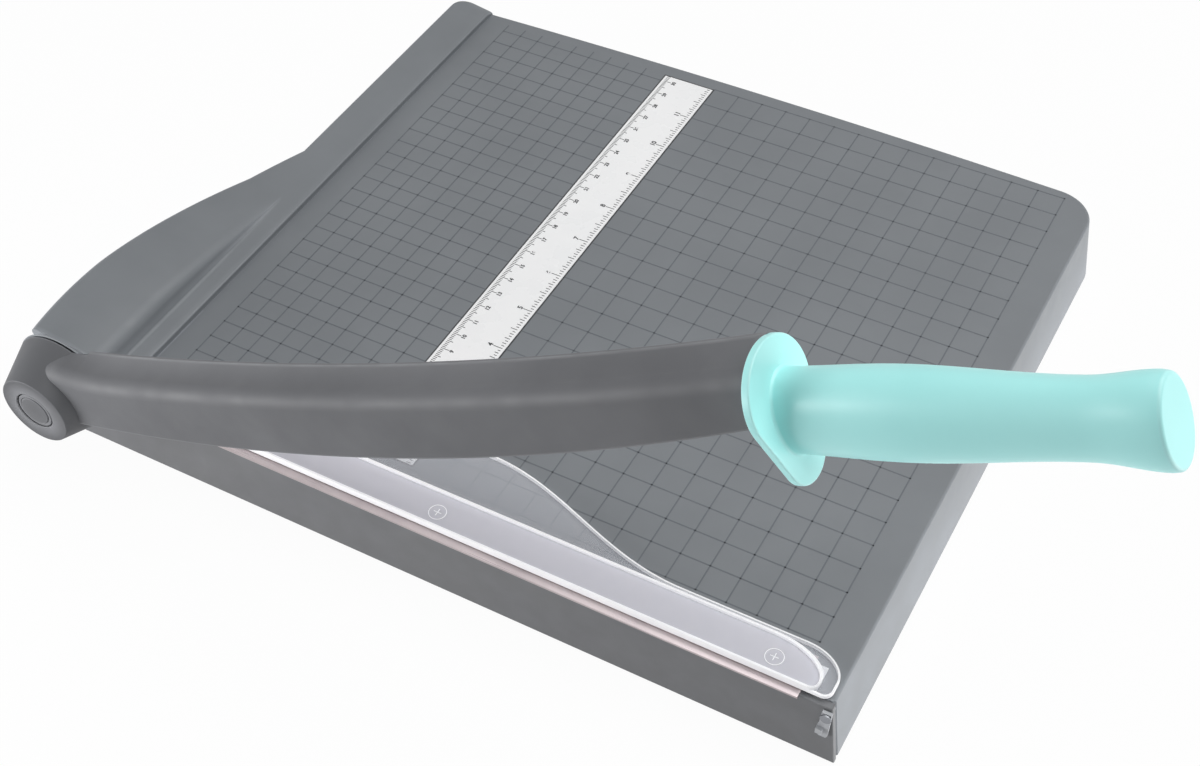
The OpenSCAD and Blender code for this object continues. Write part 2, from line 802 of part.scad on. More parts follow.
// One cross-section of the arm, as distance out from the inner face and height
function arm_section(s) = let (
    t = arm_t,
    top = arm_top(s),
    low = arm_belly(s),
    ridge = top - ridge_drop,
    from = 1.6,
    to = t - 2.4)
    concat(
        [[0, low], [0, top - 0.8], [0.8, top]],
        [for (i = [0 : 6]) let (u = i / 6)
            [from + (to - from) * u, top - ridge_drop * u - hollow_depth * sin(180 * u)]],
        [[t - 0.7, ridge - 0.8], [t, ridge - 2.6], [t, low + 1.8], [t - 0.5, low + 0.5], [t - 1.8, low]]);
function arm_ring(s) = [for (p = arm_section(s)) [s, arm_in_y - p[0], p[1]]];

module arm_body() {
    stations = 20;
    root_s = 5;
    edge = 1.4;
    color("#696a6d") difference() {
        union() {
            on_arm()
                loft([for (i = [0 : stations]) arm_ring(root_s + (flange_s - root_s) * i / stations)]);
            translate([pivot_x, 0, pivot_z])
                rotate([90, 0, 0])
                    rotate_extrude()
                        polygon([[0, -knuckle_y], [knuckle_r, -knuckle_y], [knuckle_cap_r, -cap_y - edge],
                            [knuckle_cap_r - edge, -cap_y], [0, -cap_y]]);
        }
        pivot_rod(knuckle_y, shear_y + past, relief_r);
        pivot_rod(cap_y - past, knuckle_y + past, bolt_r + fit);
        pivot_rod(cap_y - past, head_seat_y, cap_r + fit);
        on_arm() {
            tang_solid(fit);
            blade_screw_places()
                cylinder(h = blade_t + blade_screw_len, r = blade_shank_r + fit);
            keeper_rivet_places(fit);
        }
    }
}

// Blade: a strip along the belly with a convex cutting edge
function blade_edge(s) = arm_belly(s) - blade_below;
blade_end = knife_end_x - pivot_x - 0.5;
blade_screw_r = 4;
blade_shank_r = 2;
blade_screw_len = 9;

module blade() {
    n = 30;
    steps = [for (i = [0 : n]) blade_start + (blade_end - blade_start) * i / n];
    color("#c4c6ca") on_arm() difference() {
        upright(arm_in_y, blade_t)
            polygon(concat(
                [for (s = steps) [s, blade_edge(s)]],
                [for (i = [n : -1 : 0]) [steps[i], blade_edge(steps[i]) + blade_h]]));
        blade_screw_places()
            mirror([0, 0, 1])
                sunk_hole(blade_screw_r, blade_shank_r, blade_t + past);
    }
}

// Blade screws stand on the blade's inner face and point outwards
module blade_screw_places() {
    for (i = [0 : blade_screw_n - 1]) {
        s = blade_start + 30 + (blade_end - blade_start - 50) * i / (blade_screw_n - 1);
        translate([s, blade_y, arm_belly(s) + 10])
            rotate([90, 0, 0]) children();
    }
}

module blade_screws() {
    color("#b9babd") on_arm()
        blade_screw_places()
            mirror([0, 0, 1])
                sunk_screw(blade_screw_r, blade_shank_r, blade_t + blade_screw_len - past);
}

// Grip: an oval body that swells, narrows and flares, behind an egg-shaped flange
grip_knots = [[0, 1], [0.33, 1.08], [0.8, 0.895], [0.975, 1.033], [1, 0.98]];
flange_n = 40;

function grip_ring(u) = let (k = eased(u, grip_knots), s = flange_s + past + (grip_len - past) * u)
    [for (a = [0 : 12 : 348])
        [s, arm_mid_y + grip_in + grip_b * k * cos(a), -grip_low - grip_fall * u + grip_a * k * sin(a)]];
// Point of the egg whose outline faces the angle a
function egg(a, inset) = let (lean = asin((flange_top_r - flange_low_r) / flange_span),
    upper = sin(a) > -sin(lean))
    [(upper ? flange_top_r - inset : flange_low_r - inset) * cos(a),
        flange_rise - (upper ? 0 : flange_span)
            + (upper ? flange_top_r - inset : flange_low_r - inset) * sin(a)];
function flange_ring(s, inset) = [for (i = [0 : flange_n - 1]) let (p = egg(360 * i / flange_n, inset))
    [s, arm_mid_y + p[0], -grip_low + p[1]]];

module grip() {
    steps = 24;
    round_r = 1.6;
    color("#8ccdc8") on_arm() difference() {
        union() {
            loft([flange_ring(flange_s, round_r), flange_ring(flange_s + 0.3 * round_r, 0.4 * round_r),
                flange_ring(flange_s + round_r, 0), flange_ring(flange_s + flange_t - round_r, 0),
                flange_ring(flange_s + flange_t - 0.3 * round_r, 0.4 * round_r),
                flange_ring(flange_s + flange_t, round_r)]);
            loft([for (i = [0 : steps]) grip_ring(i / steps)]);
        }
        tang_solid(fit);
    }
}

// Cranked steel bar from inside the arm to inside the grip
module tang_solid(gap) {
    half = tang_h / 2 + gap;
    crank = flange_s + 2;
    run_in = 6;
    upright(arm_mid_y - tang_t / 2 - gap, tang_t + 2 * gap)
        polygon([[tang_root_s - gap, -half], [crank - gap, -half], [crank + run_in - gap, -grip_low - half],
            [tang_tip_s + gap, -grip_low - half], [tang_tip_s + gap, -grip_low + half],
            [crank + run_in + gap, -grip_low + half], [crank + gap, half], [tang_root_s - gap, half]]);
}

module grip_tang() {
    color("#9fa1a5") on_arm() tang_solid(0);
}

// Keeper on the arm's inner face, drawn where it stands with the arm closed
keeper_rivet_zs = [keeper_top_z - 2.5, keeper_top_z - 8.5];
keeper_rivet_r = 1.3;

module keeper_rivet_places(gap) {
    for (z = keeper_rivet_zs)
        rod(keeper_x + keeper_w / 2 - pivot_x, z - pivot_z, arm_in_y - 4 - gap, arm_in_y + keeper_t + past,
            keeper_rivet_r + gap);
}

module keeper_plate() {
    catch_x = keeper_x + 0.42 * keeper_w;
    color("#b3b5b9") on_arm() difference() {
        translate([-pivot_x, 0, -pivot_z])
            upright(arm_in_y, keeper_t)
                difference() {
                    translate([keeper_x, keeper_low_z])
                        square([keeper_w, keeper_top_z - keeper_low_z]);
                    translate([catch_x, catch_low_z])
                        square([keeper_w, catch_high_z - catch_low_z]);
                }
        keeper_rivet_places(fit);
    }
}

module keeper_rivets() {
    head_t = 0.4;
    color("#c4c6ca") on_arm()
        for (z = keeper_rivet_zs) {
            x = keeper_x + keeper_w / 2 - pivot_x;
            rod(x, z - pivot_z, arm_in_y - 4, arm_in_y + keeper_t, keeper_rivet_r);
            rod(x, z - pivot_z, arm_in_y + keeper_t, arm_in_y + keeper_t + head_t, keeper_rivet_r + 0.9);
        }
}

// Latch: a plate that hangs from its pin, with a nose that swings into the keeper's catch
module lock_hook() {
    tail_z = hook_z - 12.5;
    nose_x = hook_x - 3.1;
    nose_high_z = hook_z - 6;
    nose_low_z = hook_z - 9.4;
    color("#9c9da3") difference() {
        union() {
            upright(hook_front_y, hook_t)
                polygon([[hook_x + 1.9, hook_z + 2.4], [hook_x - 1.9, hook_z + 2.4], [hook_x - 2.6, nose_high_z],
                    [nose_x, nose_high_z - 0.6], [nose_x, nose_low_z], [hook_x - 1.7, nose_low_z - 1],
                    [hook_x - 2.6, tail_z + 1], [hook_x - 2.2, tail_z], [hook_x + 0.6, tail_z],
                    [hook_x + 1.2, tail_z + 1]]);
            upright(nose_y, hook_front_y - nose_y + fit)
                polygon([[nose_x, nose_low_z], [hook_x - 0.6, nose_low_z], [hook_x - 0.6, nose_high_z - 0.6],
                    [nose_x, nose_high_z - 0.6]]);
        }
        rod(hook_x, hook_z, nose_y - past, hook_back_y + past, hook_pin_r + run);
    }
}

module hook_pin() {
    color("#c4c6ca") union() {
        rod(hook_x, hook_z, hook_front_y - 0.3, near_y + wall_t - fit, hook_pin_r);
        rod(hook_x, hook_z, hook_front_y - 0.9, hook_front_y - 0.3, hook_pin_r + 0.7);
    }
}

base_shell();
front_rail();
fence_housing();
bed_knife();
bed_knife_screws();
finger_guard();
rule_plate();
rubber_feet();
housing_screws();
rail_screws();
pivot_bush();
thrust_washer();
pivot_bolt();
head_washer();
disc_springs();
lock_nut();
pivot_cap();
arm_body();
blade();
blade_screws();
grip();
grip_tang();
keeper_plate();
keeper_rivets();
lock_hook();
hook_pin();
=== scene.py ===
"""Looks of a desk guillotine paper cutter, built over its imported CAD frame.

All sizes are in millimetres in the frame of the part: X along the cutting edge away from the
pivot, Y away from the cutting edge, Z up, with the origin in the middle of the board on the table.
"""

import json
import logging
import math
from collections.abc import Callable, Iterable, Sequence
from dataclasses import dataclass, field
from enum import Enum

import bmesh
import bpy
from mathutils import Matrix, Vector

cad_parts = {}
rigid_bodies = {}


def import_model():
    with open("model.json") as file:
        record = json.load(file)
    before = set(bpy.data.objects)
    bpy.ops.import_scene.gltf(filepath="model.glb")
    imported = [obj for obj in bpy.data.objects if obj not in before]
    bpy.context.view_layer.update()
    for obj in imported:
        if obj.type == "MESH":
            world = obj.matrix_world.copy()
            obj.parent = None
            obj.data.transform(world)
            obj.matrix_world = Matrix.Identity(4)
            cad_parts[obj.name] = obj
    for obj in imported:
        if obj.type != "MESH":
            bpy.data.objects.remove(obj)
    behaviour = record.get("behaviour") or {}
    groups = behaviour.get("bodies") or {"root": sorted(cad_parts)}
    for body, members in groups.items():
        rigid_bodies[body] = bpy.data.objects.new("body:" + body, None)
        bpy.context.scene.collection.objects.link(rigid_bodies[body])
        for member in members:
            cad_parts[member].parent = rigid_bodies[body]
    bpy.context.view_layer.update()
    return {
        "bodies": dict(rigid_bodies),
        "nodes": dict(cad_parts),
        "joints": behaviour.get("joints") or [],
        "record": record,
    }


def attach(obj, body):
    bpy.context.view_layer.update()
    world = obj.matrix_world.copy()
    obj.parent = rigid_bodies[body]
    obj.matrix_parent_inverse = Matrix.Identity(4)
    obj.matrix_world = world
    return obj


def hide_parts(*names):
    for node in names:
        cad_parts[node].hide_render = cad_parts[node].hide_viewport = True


LOG = logging.getLogger("paper_cutter")
MM = 0.001
# Faces that meet at more than this are shaded with a crease
CREASE_DEG = 34.0
# Bend of an edge, in radians, at which its paler colour, part rubbed wear and part painted highlight, starts
# to show, and how much more shows it fully
WEAR_AND_HIGHLIGHT_FROM = 0.14
WEAR_AND_HIGHLIGHT_SPAN = 0.4
# Vertices nearer than this, in millimetres, are one
MERGE = 1e-4
# Planes and axis that several sub-assemblies share
DECK_Z = 36.0
SHEAR_Y = -156.65
NEAR_Y = -152.05
NOTCH_Y = -96.65
FENCE_X = -152.7
HALF_W = 171.5
PIVOT_X = -173.0
PIVOT_Z = 42.6
Point = tuple[float, float, float]
Flat = tuple[float, float]


class Body(str, Enum):
    """Bodies of the part that new pieces ride on."""

    BASE = "base"
    ARM = "arm"


class Axis(Enum):
    """Directions of a turned piece's axis."""

    ACROSS = 1
    UP = 2


class Slot(str, Enum):
    """Material slots of the record that new pieces take."""

    BOARD = "board_plastic"
    RAIL = "rail_plastic"
    ARM = "arm_plastic"
    EDGE = "edge_steel"
    SCREW = "screw_steel"
    CLEAR = "clear_plastic"
    RULE = "rule_white"
    GRIP = "grip_mint"


def rgba(code: str) -> tuple[float, float, float, float]:
    """Turn an sRGB hex colour to linear.

    Args:
        code: Colour such as "#75797d".

    Returns:
        Linear red, green, blue and an alpha of 1.
    """
    parts = [int(code[i : i + 2], 16) / 255 for i in (1, 3, 5)]
    linear = [c / 12.92 if c <= 0.04045 else ((c + 0.055) / 1.055) ** 2.4 for c in parts]
    return (linear[0], linear[1], linear[2], 1.0)


def add(
    tree: bpy.types.NodeTree,
    kind: str,
    settings: dict[str | int, object],
    links: dict[str | int, bpy.types.NodeSocket],
) -> bpy.types.Node:
    """Add a shader node with its settings and links.

    Args:
        tree: Node tree that gets the node.
        kind: Type name of the node.
        settings: Properties by name, and input values by socket name or number.
        links: Output sockets, by the input that each one feeds.

    Returns:
        The new node.
    """
    node = tree.nodes.new(kind)
    for key, value in settings.items():
        if isinstance(key, str) and key in node.bl_rna.properties:
            setattr(node, key, value)
        else:
            node.inputs[key].default_value = value
    for key, socket in links.items():
        tree.links.new(socket, node.inputs[key])
    return node


def arc(centre: Flat, radius: float, start: float, stop: float, steps: int) -> list[Flat]:
    """Points of an arc in equal steps.

    Args:
        centre: Middle of the arc.
        radius: Radius of the arc.
        start: First angle in degrees.
        stop: Last angle in degrees.
        steps: Number of chords.

    Returns:
        steps + 1 points.
    """
    angles = (math.radians(start + (stop - start) * i / steps) for i in range(steps + 1))
    return [(centre[0] + radius * math.cos(a), centre[1] + radius * math.sin(a)) for a in angles]


def spread(start: float, stop: float, steps: int) -> list[float]:
    """Equal steps from start to stop, both included."""
    return [start + (stop - start) * i / steps for i in range(steps + 1)]


def cos_sin(start: float, stop: float, steps: int) -> list[Flat]:
    """Cosines and sines of equal steps from one angle in degrees to another."""
    return arc((0.0, 0.0), 1.0, start, stop, steps)


class Finish:
    """A surface finish that makes its material once."""

    name: str
    smooth: float
    dull: float
    relief_mm: float

    def material(self) -> bpy.types.Material:
        """Give the finish's material, made on first use.

        Returns:
            The material, which every piece in the finish shares.
        """
        found = bpy.data.materials.get(self.name)
        if found:
            return found
        made = bpy.data.materials.new(self.name)
        made.use_nodes = True
        self.dress(made.node_tree, made.node_tree.nodes["Principled BSDF"])
        return made

    def dress(self, tree: bpy.types.NodeTree, shader: bpy.types.Node) -> None:
        """Build the finish's nodes in a tree that ends in a shader; each kind of finish has its own."""
        raise NotImplementedError

    def wire(
        self,
        tree: bpy.types.NodeTree,
        shader: bpy.types.Node,
        colour: bpy.types.NodeSocket,
        gloss: bpy.types.NodeSocket,
        span: Flat,
        height: bpy.types.NodeSocket,
        strength: float,
    ) -> None:
        """Drive the shader's colour, roughness and bump.

        Args:
            tree: Node tree of the material.
            shader: Principled shader that is fed.
            colour: Output that gives the colour.
            gloss: Noise that moves the roughness from smooth to dull.
            span: Values of that noise at which the surface is smooth and dull.
            height: Noise that the bump takes its height from.
            strength: Strength of the bump.
        """
        low, high = span
        rough = add(
            tree,
            "ShaderNodeMapRange",
            {"From Min": low, "From Max": high, "To Min": self.smooth, "To Max": self.dull},
            {"Value": gloss},
        )
        bump = add(
            tree,
            "ShaderNodeBump",
            {"Strength": strength, "Distance": self.relief_mm * MM},
            {"Height": height},
        )
        tree.links.new(colour, shader.inputs["Base Color"])
        tree.links.new(rough.outputs["Result"], shader.inputs["Roughness"])
        tree.links.new(bump.outputs["Normal"], shader.inputs["Normal"])


@dataclass(frozen=True)
class MouldedPlastic(Finish):
    """Injection-moulded plastic: an eroded mould grain, faint flow clouds, and paler edges that are part
    rubbed wear and part painted highlight.
    """

    name: str
    colour: str
    cloud: str
    # Paler colour of convex edges: part rubbed wear, part painted highlight
    rubbed: str
    # A real mould grain is some 0.2 mm wide; it is drawn coarser, so that it shows in the render
    grain_mm: float = 0.9
    relief_mm: float = 0.02
    cloud_mm: float = 45.0
    handling_mm: float = 12.0
    smooth: float = 0.42
    dull: float = 0.56
    ior: float = 1.5

    def dress(self, tree: bpy.types.NodeTree, shader: bpy.types.Node) -> None:
        """Drive colour by flow clouds and by paler edges, part wear and part painted highlight; roughness by
        handling, and bump by the grain.

        Args:
            tree: Node tree of the material.
            shader: Principled shader that the nodes feed.
        """
        place = add(tree, "ShaderNodeTexCoord", {}, {}).outputs["Object"]
        clouds, grain, handling = (
            add(tree, "ShaderNodeTexNoise", {"Scale": 1 / (size * MM), "Detail": detail}, {"Vector": place})
            for size, detail in ((self.cloud_mm, 3.0), (self.grain_mm, 2.0), (self.handling_mm, 4.0))
        )
        tone = add(
            tree,
            "ShaderNodeMapRange",
            {"From Min": 0.35, "From Max": 0.65, "To Min": 0.0, "To Max": 1.0},
            {"Value": clouds.outputs["Fac"]},
        )
        body = add(
            tree,
            "ShaderNodeMix",
            {"data_type": "RGBA", 6: rgba(self.cloud), 7: rgba(self.colour)},
            {0: tone.outputs["Result"]},
        )
        edge = add(tree, "ShaderNodeAttribute", {"attribute_name": "wear_and_highlight"}, {})
        worn_and_highlight = add(
            tree,
            "ShaderNodeMath",
            {"operation": "MULTIPLY"},
            {0: edge.outputs["Fac"], 1: handling.outputs["Fac"]},
        )
        # Convex edges turn towards the paler colour: part rubbed wear, part painted highlight where edges
        # catch the light
        colour = add(
            tree,
            "ShaderNodeMix",
            {"data_type": "RGBA", 7: rgba(self.rubbed)},
            {0: worn_and_highlight.outputs["Value"], 6: body.outputs[2]},
        )
        gloss, height = handling.outputs["Fac"], grain.outputs["Fac"]
        self.wire(tree, shader, colour.outputs[2], gloss, (0.3, 0.7), height, 0.35)
        shader.inputs["IOR"].default_value = self.ior


@dataclass(frozen=True)
class WorkedMetal(Finish):
    """Metal that was ground, drawn or turned: streaks along one axis and a few dull stains."""

    name: str
    colour: str
    stain: str
    # Real tool lines are under 0.1 mm wide; they are drawn coarser, so that they show in the render
    streak_mm: tuple[float, float, float]
    smooth: float
    dull: float
    relief_mm: float = 0.006
    stain_mm: float = 18.0

    def dress(self, tree: bpy.types.NodeTree, shader: bpy.types.Node) -> None:
        """Stretch a noise along the tool's path, and use it for roughness, tone and bump.

        Args:
            tree: Node tree of the material.
            shader: Principled shader that the nodes feed.
        """
        place = add(tree, "ShaderNodeTexCoord", {}, {}).outputs["Object"]
        scale = tuple(1 / (size * MM) for size in self.streak_mm)
        along = add(tree, "ShaderNodeMapping", {"Scale": scale}, {"Vector": place})
        streak = add(
            tree, "ShaderNodeTexNoise", {"Scale": 1.0, "Detail": 3.0}, {"Vector": along.outputs["Vector"]}
        )
        stain = add(
            tree, "ShaderNodeTexNoise", {"Scale": 1 / (self.stain_mm * MM), "Detail": 4.0}, {"Vector": place}
        )
        tone = add(
            tree,
            "ShaderNodeMapRange",
            {"From Min": 0.45, "From Max": 0.75, "To Min": 0.0, "To Max": 0.7},
            {"Value": stain.outputs["Fac"]},
        )
        colour = add(
            tree,
            "ShaderNodeMix",
            {"data_type": "RGBA", 6: rgba(self.colour), 7: rgba(self.stain)},
            {0: tone.outputs["Result"]},
        )
        lines = streak.outputs["Fac"]
        self.wire(tree, shader, colour.outputs[2], lines, (0.3, 0.7), lines, 0.3)
        shader.inputs["Metallic"].default_value = 1.0


@dataclass(frozen=True)
class ClearPlastic(Finish):
    """Clear moulded plastic: a see-through sheet with a faint haze of handling, or edges painted bright with
    a faint glow as painted highlight.
    """

    name: str
    colour: str
    haze: str
    opacity: float
    ripple_mm: float = 14.0
    relief_mm: float = 0.05
    rub_mm: float = 5.0
    smooth: float = 0.06
    dull: float = 0.16
    # Emission strength; above zero it is painted light
    glow: float = 0.0
    ior: float = 1.49

    def dress(self, tree: bpy.types.NodeTree, shader: bpy.types.Node) -> None:
        """Keep a plain opacity, and vary tint, gloss and a slow ripple over the moulding.

        Args:
            tree: Node tree of the material.
            shader: Principled shader that the nodes feed.
        """
        place = add(tree, "ShaderNodeTexCoord", {}, {}).outputs["Object"]
        ripple, rub = (
            add(tree, "ShaderNodeTexNoise", {"Scale": 1 / (size * MM), "Detail": detail}, {"Vector": place})
            for size, detail in ((self.ripple_mm, 1.0), (self.rub_mm, 5.0))
        )
        colour = add(
            tree,
            "ShaderNodeMix",
            {"data_type": "RGBA", 6: rgba(self.colour), 7: rgba(self.haze)},
            {0: rub.outputs["Fac"]},
        )
        gloss, height = rub.outputs["Fac"], ripple.outputs["Fac"]
        self.wire(tree, shader, colour.outputs[2], gloss, (0.35, 0.7), height, 0.15)
        shader.inputs["Alpha"].default_value = self.opacity
        # A glow above zero is painted light: the plastic shines though it is no lamp
        shader.inputs["Emission Color"].default_value = rgba(self.colour)
        shader.inputs["Emission Strength"].default_value = self.glow
        shader.inputs["IOR"].default_value = self.ior


# ABS with a fine eroded grain: a soft, even mid grey with no clear reflection
BOARD_ABS = MouldedPlastic("board_abs_grained", "#777b7f", "#72767a", "#969aa0")
# ABS front panel: a darker grey than the board, from a slightly finer mould
RAIL_ABS = MouldedPlastic(
    "rail_abs_satin", "#565759", "#525356", "#858689", grain_mm=0.8, smooth=0.44, dull=0.58
)
# Glass-filled nylon arm: darker and matt, so its crown shows as a soft dark band
ARM_NYLON = MouldedPlastic(
    "arm_nylon_satin", "#616265", "#5a5b5e", "#8a8b8e", grain_mm=1.1, smooth=0.52, dull=0.66, ior=1.4
)
# Unfilled nylon of the knuckle and its cap, a little smoother than the arm; its grey is made darker than the
# arm's as painted shade
SHADED_CAP_NYLON = MouldedPlastic(
    "cap_nylon_shaded", "#555659", "#4f5053", "#87888c", grain_mm=0.8, smooth=0.5, dull=0.64, ior=1.4
)
# Polypropylene grip: waxy mint with a soft sheen and a very fine grain
GRIP_POLYPROPYLENE = MouldedPlastic(
    "grip_polypropylene_mint",
    "#b0f1ef",
    "#aaedeb",
    "#daf9f8",
    grain_mm=0.7,
    relief_mm=0.008,
    smooth=0.3,
    dull=0.42,
)
# Acetal latch: pale grey and slippery, with light edges that are part rubbing and part painted highlight
LATCH_ACETAL = MouldedPlastic(
    "latch_acetal_grey", "#b0b2b6", "#a6a8ac", "#e2e4e8", grain_mm=0.5, cloud_mm=6.0, smooth=0.28, dull=0.4
)
# Polystyrene rule strip: glossy white with a trace of grey handling
RULE_STYRENE = MouldedPlastic(
    "rule_polystyrene_white",
    "#fcfcfd",
    "#f8f9fa",
    "#ffffff",
    grain_mm=1.2,
    relief_mm=0.004,
    smooth=0.22,
    dull=0.36,
)
# Screen-printed ink: matt, thin and a little uneven
GRID_INK = MouldedPlastic(
    "ink_grid_grey", "#585d62", "#61666b", "#61666b", cloud_mm=8.0, smooth=0.5, dull=0.65
)
# The rule's ink also draws the dark line round the rule, which is painted shadow of its gap
RULE_INK_AND_GAP_SHADOW = MouldedPlastic(
    "ink_rule_and_gap_shadow_black", "#212326", "#2e3033", "#2e3033", cloud_mm=4.0, smooth=0.45, dull=0.6
)
# Natural rubber foot: matt black with a dusty bloom
FOOT_RUBBER = MouldedPlastic(
    "foot_rubber_black",
    "#2a2b2d",
    "#333437",
    "#4a4b4e",
    grain_mm=0.6,
    relief_mm=0.03,
    cloud_mm=9.0,
    smooth=0.7,
    dull=0.85,
)
# Natural nylon washer: milky and smooth
WASHER_NYLON = MouldedPlastic(
    "washer_nylon_natural", "#e6e3da", "#dedbd1", "#f2f0ea", grain_mm=0.5, relief_mm=0.006, cloud_mm=7.0
)
# Hardened steel ground along its length: a warm grey, with fine lines along X
GROUND_STEEL = WorkedMetal("steel_ground", "#b7adae", "#a69c9e", (60.0, 0.5, 0.5), 0.26, 0.4)
# Zinc-plated steel: bluish and fairly bright, with drawn lines
ZINC_PLATE = WorkedMetal("steel_zinc_plated", "#cfd1d6", "#b9bbb9", (2.0, 2.0, 0.6), 0.22, 0.36)
# Oil-blacked spring steel: dark and dull
SPRING_STEEL = WorkedMetal("steel_spring_oiled", "#8b8d92", "#6f7176", (3.0, 0.8, 3.0), 0.32, 0.5)
# Turned bearing brass: warm, with rings from the lathe
BUSH_BRASS = WorkedMetal("brass_turned", "#c9a35a", "#a88545", (3.0, 0.5, 3.0), 0.24, 0.4)
# Clear polycarbonate guard: almost invisible where it is flat
GUARD_SHEET = ClearPlastic("polycarbonate_clear", "#e9ebf2", "#dfe2ea", 0.26)
# Its edges and ribs are painted near-opaque white as a highlight, with a slight glow as painted light, for
# the light that clear edges gather
GUARD_EDGE_HIGHLIGHT = ClearPlastic(
    "polycarbonate_edge_painted_highlight", "#ffffff", "#fafaff", 0.93, smooth=0.12, dull=0.25, glow=0.1
)
# The tray's floor was moulded with a fine frost: milky, with the strip only just showing through
GUARD_FROST = ClearPlastic("polycarbonate_frosted", "#f8f7ff", "#f2f1fa", 0.5, smooth=0.3, dull=0.45)


class Shape:
    """A mesh under construction, in millimetres, that becomes one finished piece."""

    def __init__(self) -> None:
        """Start with an empty mesh, whose vertices know their place in a ring."""
        self.bm = bmesh.new()
        self.order = self.bm.verts.layers.int.new("order")

    def ring(self, points: Iterable[Point]) -> list[bmesh.types.BMEdge]:
        """Close a ring of edges through points.

        Args:
            points: Corners of the ring, in order.

        Returns:
            The edges of the ring.
        """
        verts = [self.bm.verts.new(p) for p in points]
        for i, vert in enumerate(verts):
            vert[self.order] = i
        return [self.bm.edges.new(pair) for pair in zip(verts, verts[1:] + verts[:1])]

    def loft(self, rings: Sequence[Sequence[Point]], hoop: bool = False) -> None:
        """Extrude a ring from section to section into a closed skin.

        Args:
            rings: Rings of points in order along the skin, all with the same count.
            hoop: Whether the last section joins the first, instead of both being capped.
        """
        old = set(self.bm.verts)
        first = edges = self.ring(rings[0])
        for points in list(rings[1:]) + ([rings[0]] if hoop else []):
            grown = bmesh.ops.extrude_edge_only(self.bm, edges=edges)["geom"]
            verts = {g for g in grown if isinstance(g, bmesh.types.BMVert)}
            edges = [g for g in grown if isinstance(g, bmesh.types.BMEdge) and verts.issuperset(g.verts)]
            for vert in verts:
                vert.co = points[vert[self.order]]
        if hoop:
            bmesh.ops.remove_doubles(self.bm, verts=[v for v in self.bm.verts if v not in old], dist=MERGE)
        else:
            for end in (first, edges):
                bmesh.ops.contextual_create(self.bm, geom=end)
        self.face_out(v for v in self.bm.verts if v not in old)

    def face_out(self, verts: Iterable[bmesh.types.BMVert]) -> None:
        """Turn the faces of a closed skin outwards, by the sign of its volume.

        Args:
            verts: Vertices of the skin.
        """
        faces = list({f for v in verts for f in v.link_faces})
        bmesh.ops.recalc_face_normals(self.bm, faces=faces)
        if sum(f.calc_center_median().dot(f.normal) * f.calc_area() for f in faces) < 0:
            bmesh.ops.reverse_faces(self.bm, faces=faces)

    def block(self, low: Point, high: Point) -> None:
        """Add a box.

        Args:
            low: Lowest corner.
            high: Highest corner.
        """
        size = Vector(high) - Vector(low)
        matrix = Matrix.Translation((Vector(high) + Vector(low)) / 2) @ Matrix.Diagonal((*size, 1.0))
        bmesh.ops.create_cube(self.bm, size=1.0, matrix=matrix)

    def post(self, centre: Flat, low: float, high: float, radius: float, segments: int = 32) -> None:
        """Add an upright cylinder.

        Args:
            centre: Place of its axis.
            low: Height of its lower end.
            high: Height of its upper end.
            radius: Radius of the cylinder.
            segments: Number of its sides.
        """
        matrix = Matrix.Translation((centre[0], centre[1], (low + high) / 2))
        bmesh.ops.create_cone(
            self.bm,
            cap_ends=True,
            segments=segments,
            radius1=radius,
            radius2=radius,
            depth=high - low,
            matrix=matrix,
        )

    def turn(self, profile: Sequence[Flat], centre: Point, axis: Axis, steps: int = 96) -> None:
        """Spin a profile of radius and height about an axis.

        Args:
            profile: Points of radius and place along the axis, from the axis or a bore outwards and back.
            centre: Point on the axis.
            axis: Direction of the axis.
            steps: Number of steps in a full turn.
        """
        old = set(self.bm.verts)
        verts = []
        for r, h in profile:
            spot = [centre[0] + r, centre[1], centre[2]]
            spot[axis.value] = h
            verts.append(self.bm.verts.new(spot))
        edges = [self.bm.edges.new(pair) for pair in zip(verts, verts[1:])]
        if profile[0][0] > 0:
            edges.append(self.bm.edges.new((verts[-1], verts[0])))
        bmesh.ops.spin(
            self.bm,
            geom=verts + edges,
            cent=centre,
            axis=[float(i == axis.value) for i in range(3)],
            dvec=(0, 0, 0),
            angle=math.tau,
            steps=steps,
            use_merge=True,
        )
        bmesh.ops.remove_doubles(self.bm, verts=[v for v in self.bm.verts if v not in old], dist=MERGE)
        self.face_out(v for v in self.bm.verts if v not in old)

    def plate(self, outline: Sequence[Flat], low: float, high: float) -> None:
        """Raise a flat outline into a plate.

        Args:
            outline: Corners of the outline, in order.
            low: Height of the lower face.
            high: Height of the upper face.
        """
        face = self.bm.faces.new([self.bm.verts.new((x, y, low)) for x, y in outline])
        raised = bmesh.ops.extrude_face_region(self.bm, geom=[face])["geom"]
        tops = [g for g in raised if isinstance(g, bmesh.types.BMVert)]
        bmesh.ops.translate(self.bm, vec=(0, 0, high - low), verts=tops)
        self.face_out(tops + list(face.verts))

    def soften(self, chosen: Callable[[bmesh.types.BMEdge], bool], width: float, segments: int = 3) -> None:
        """Round the edges that a test picks.

        Args:
            chosen: Test of an edge.
            width: Width of the round.
            segments: Number of facets over the round.
        """
        bmesh.ops.bevel(
            self.bm,
            geom=[e for e in self.bm.edges if chosen(e)],
            offset=width,
            offset_type="OFFSET",
            segments=segments,
            profile=0.5,
            affect="EDGES",
            material=-1,
        )

    def paint(self, before: set[bmesh.types.BMFace], finish: int) -> None:
        """Give new faces a finish.

        Args:
            before: Faces that keep what they have.
            finish: Number of the finish for all other faces.
        """
        for face in self.bm.faces:
            if face not in before:
                face.material_index = finish

    def swing(self, matrix: Matrix) -> None:
        """Move the whole mesh by a matrix."""
        bmesh.ops.transform(self.bm, matrix=matrix, verts=self.bm.verts[:])

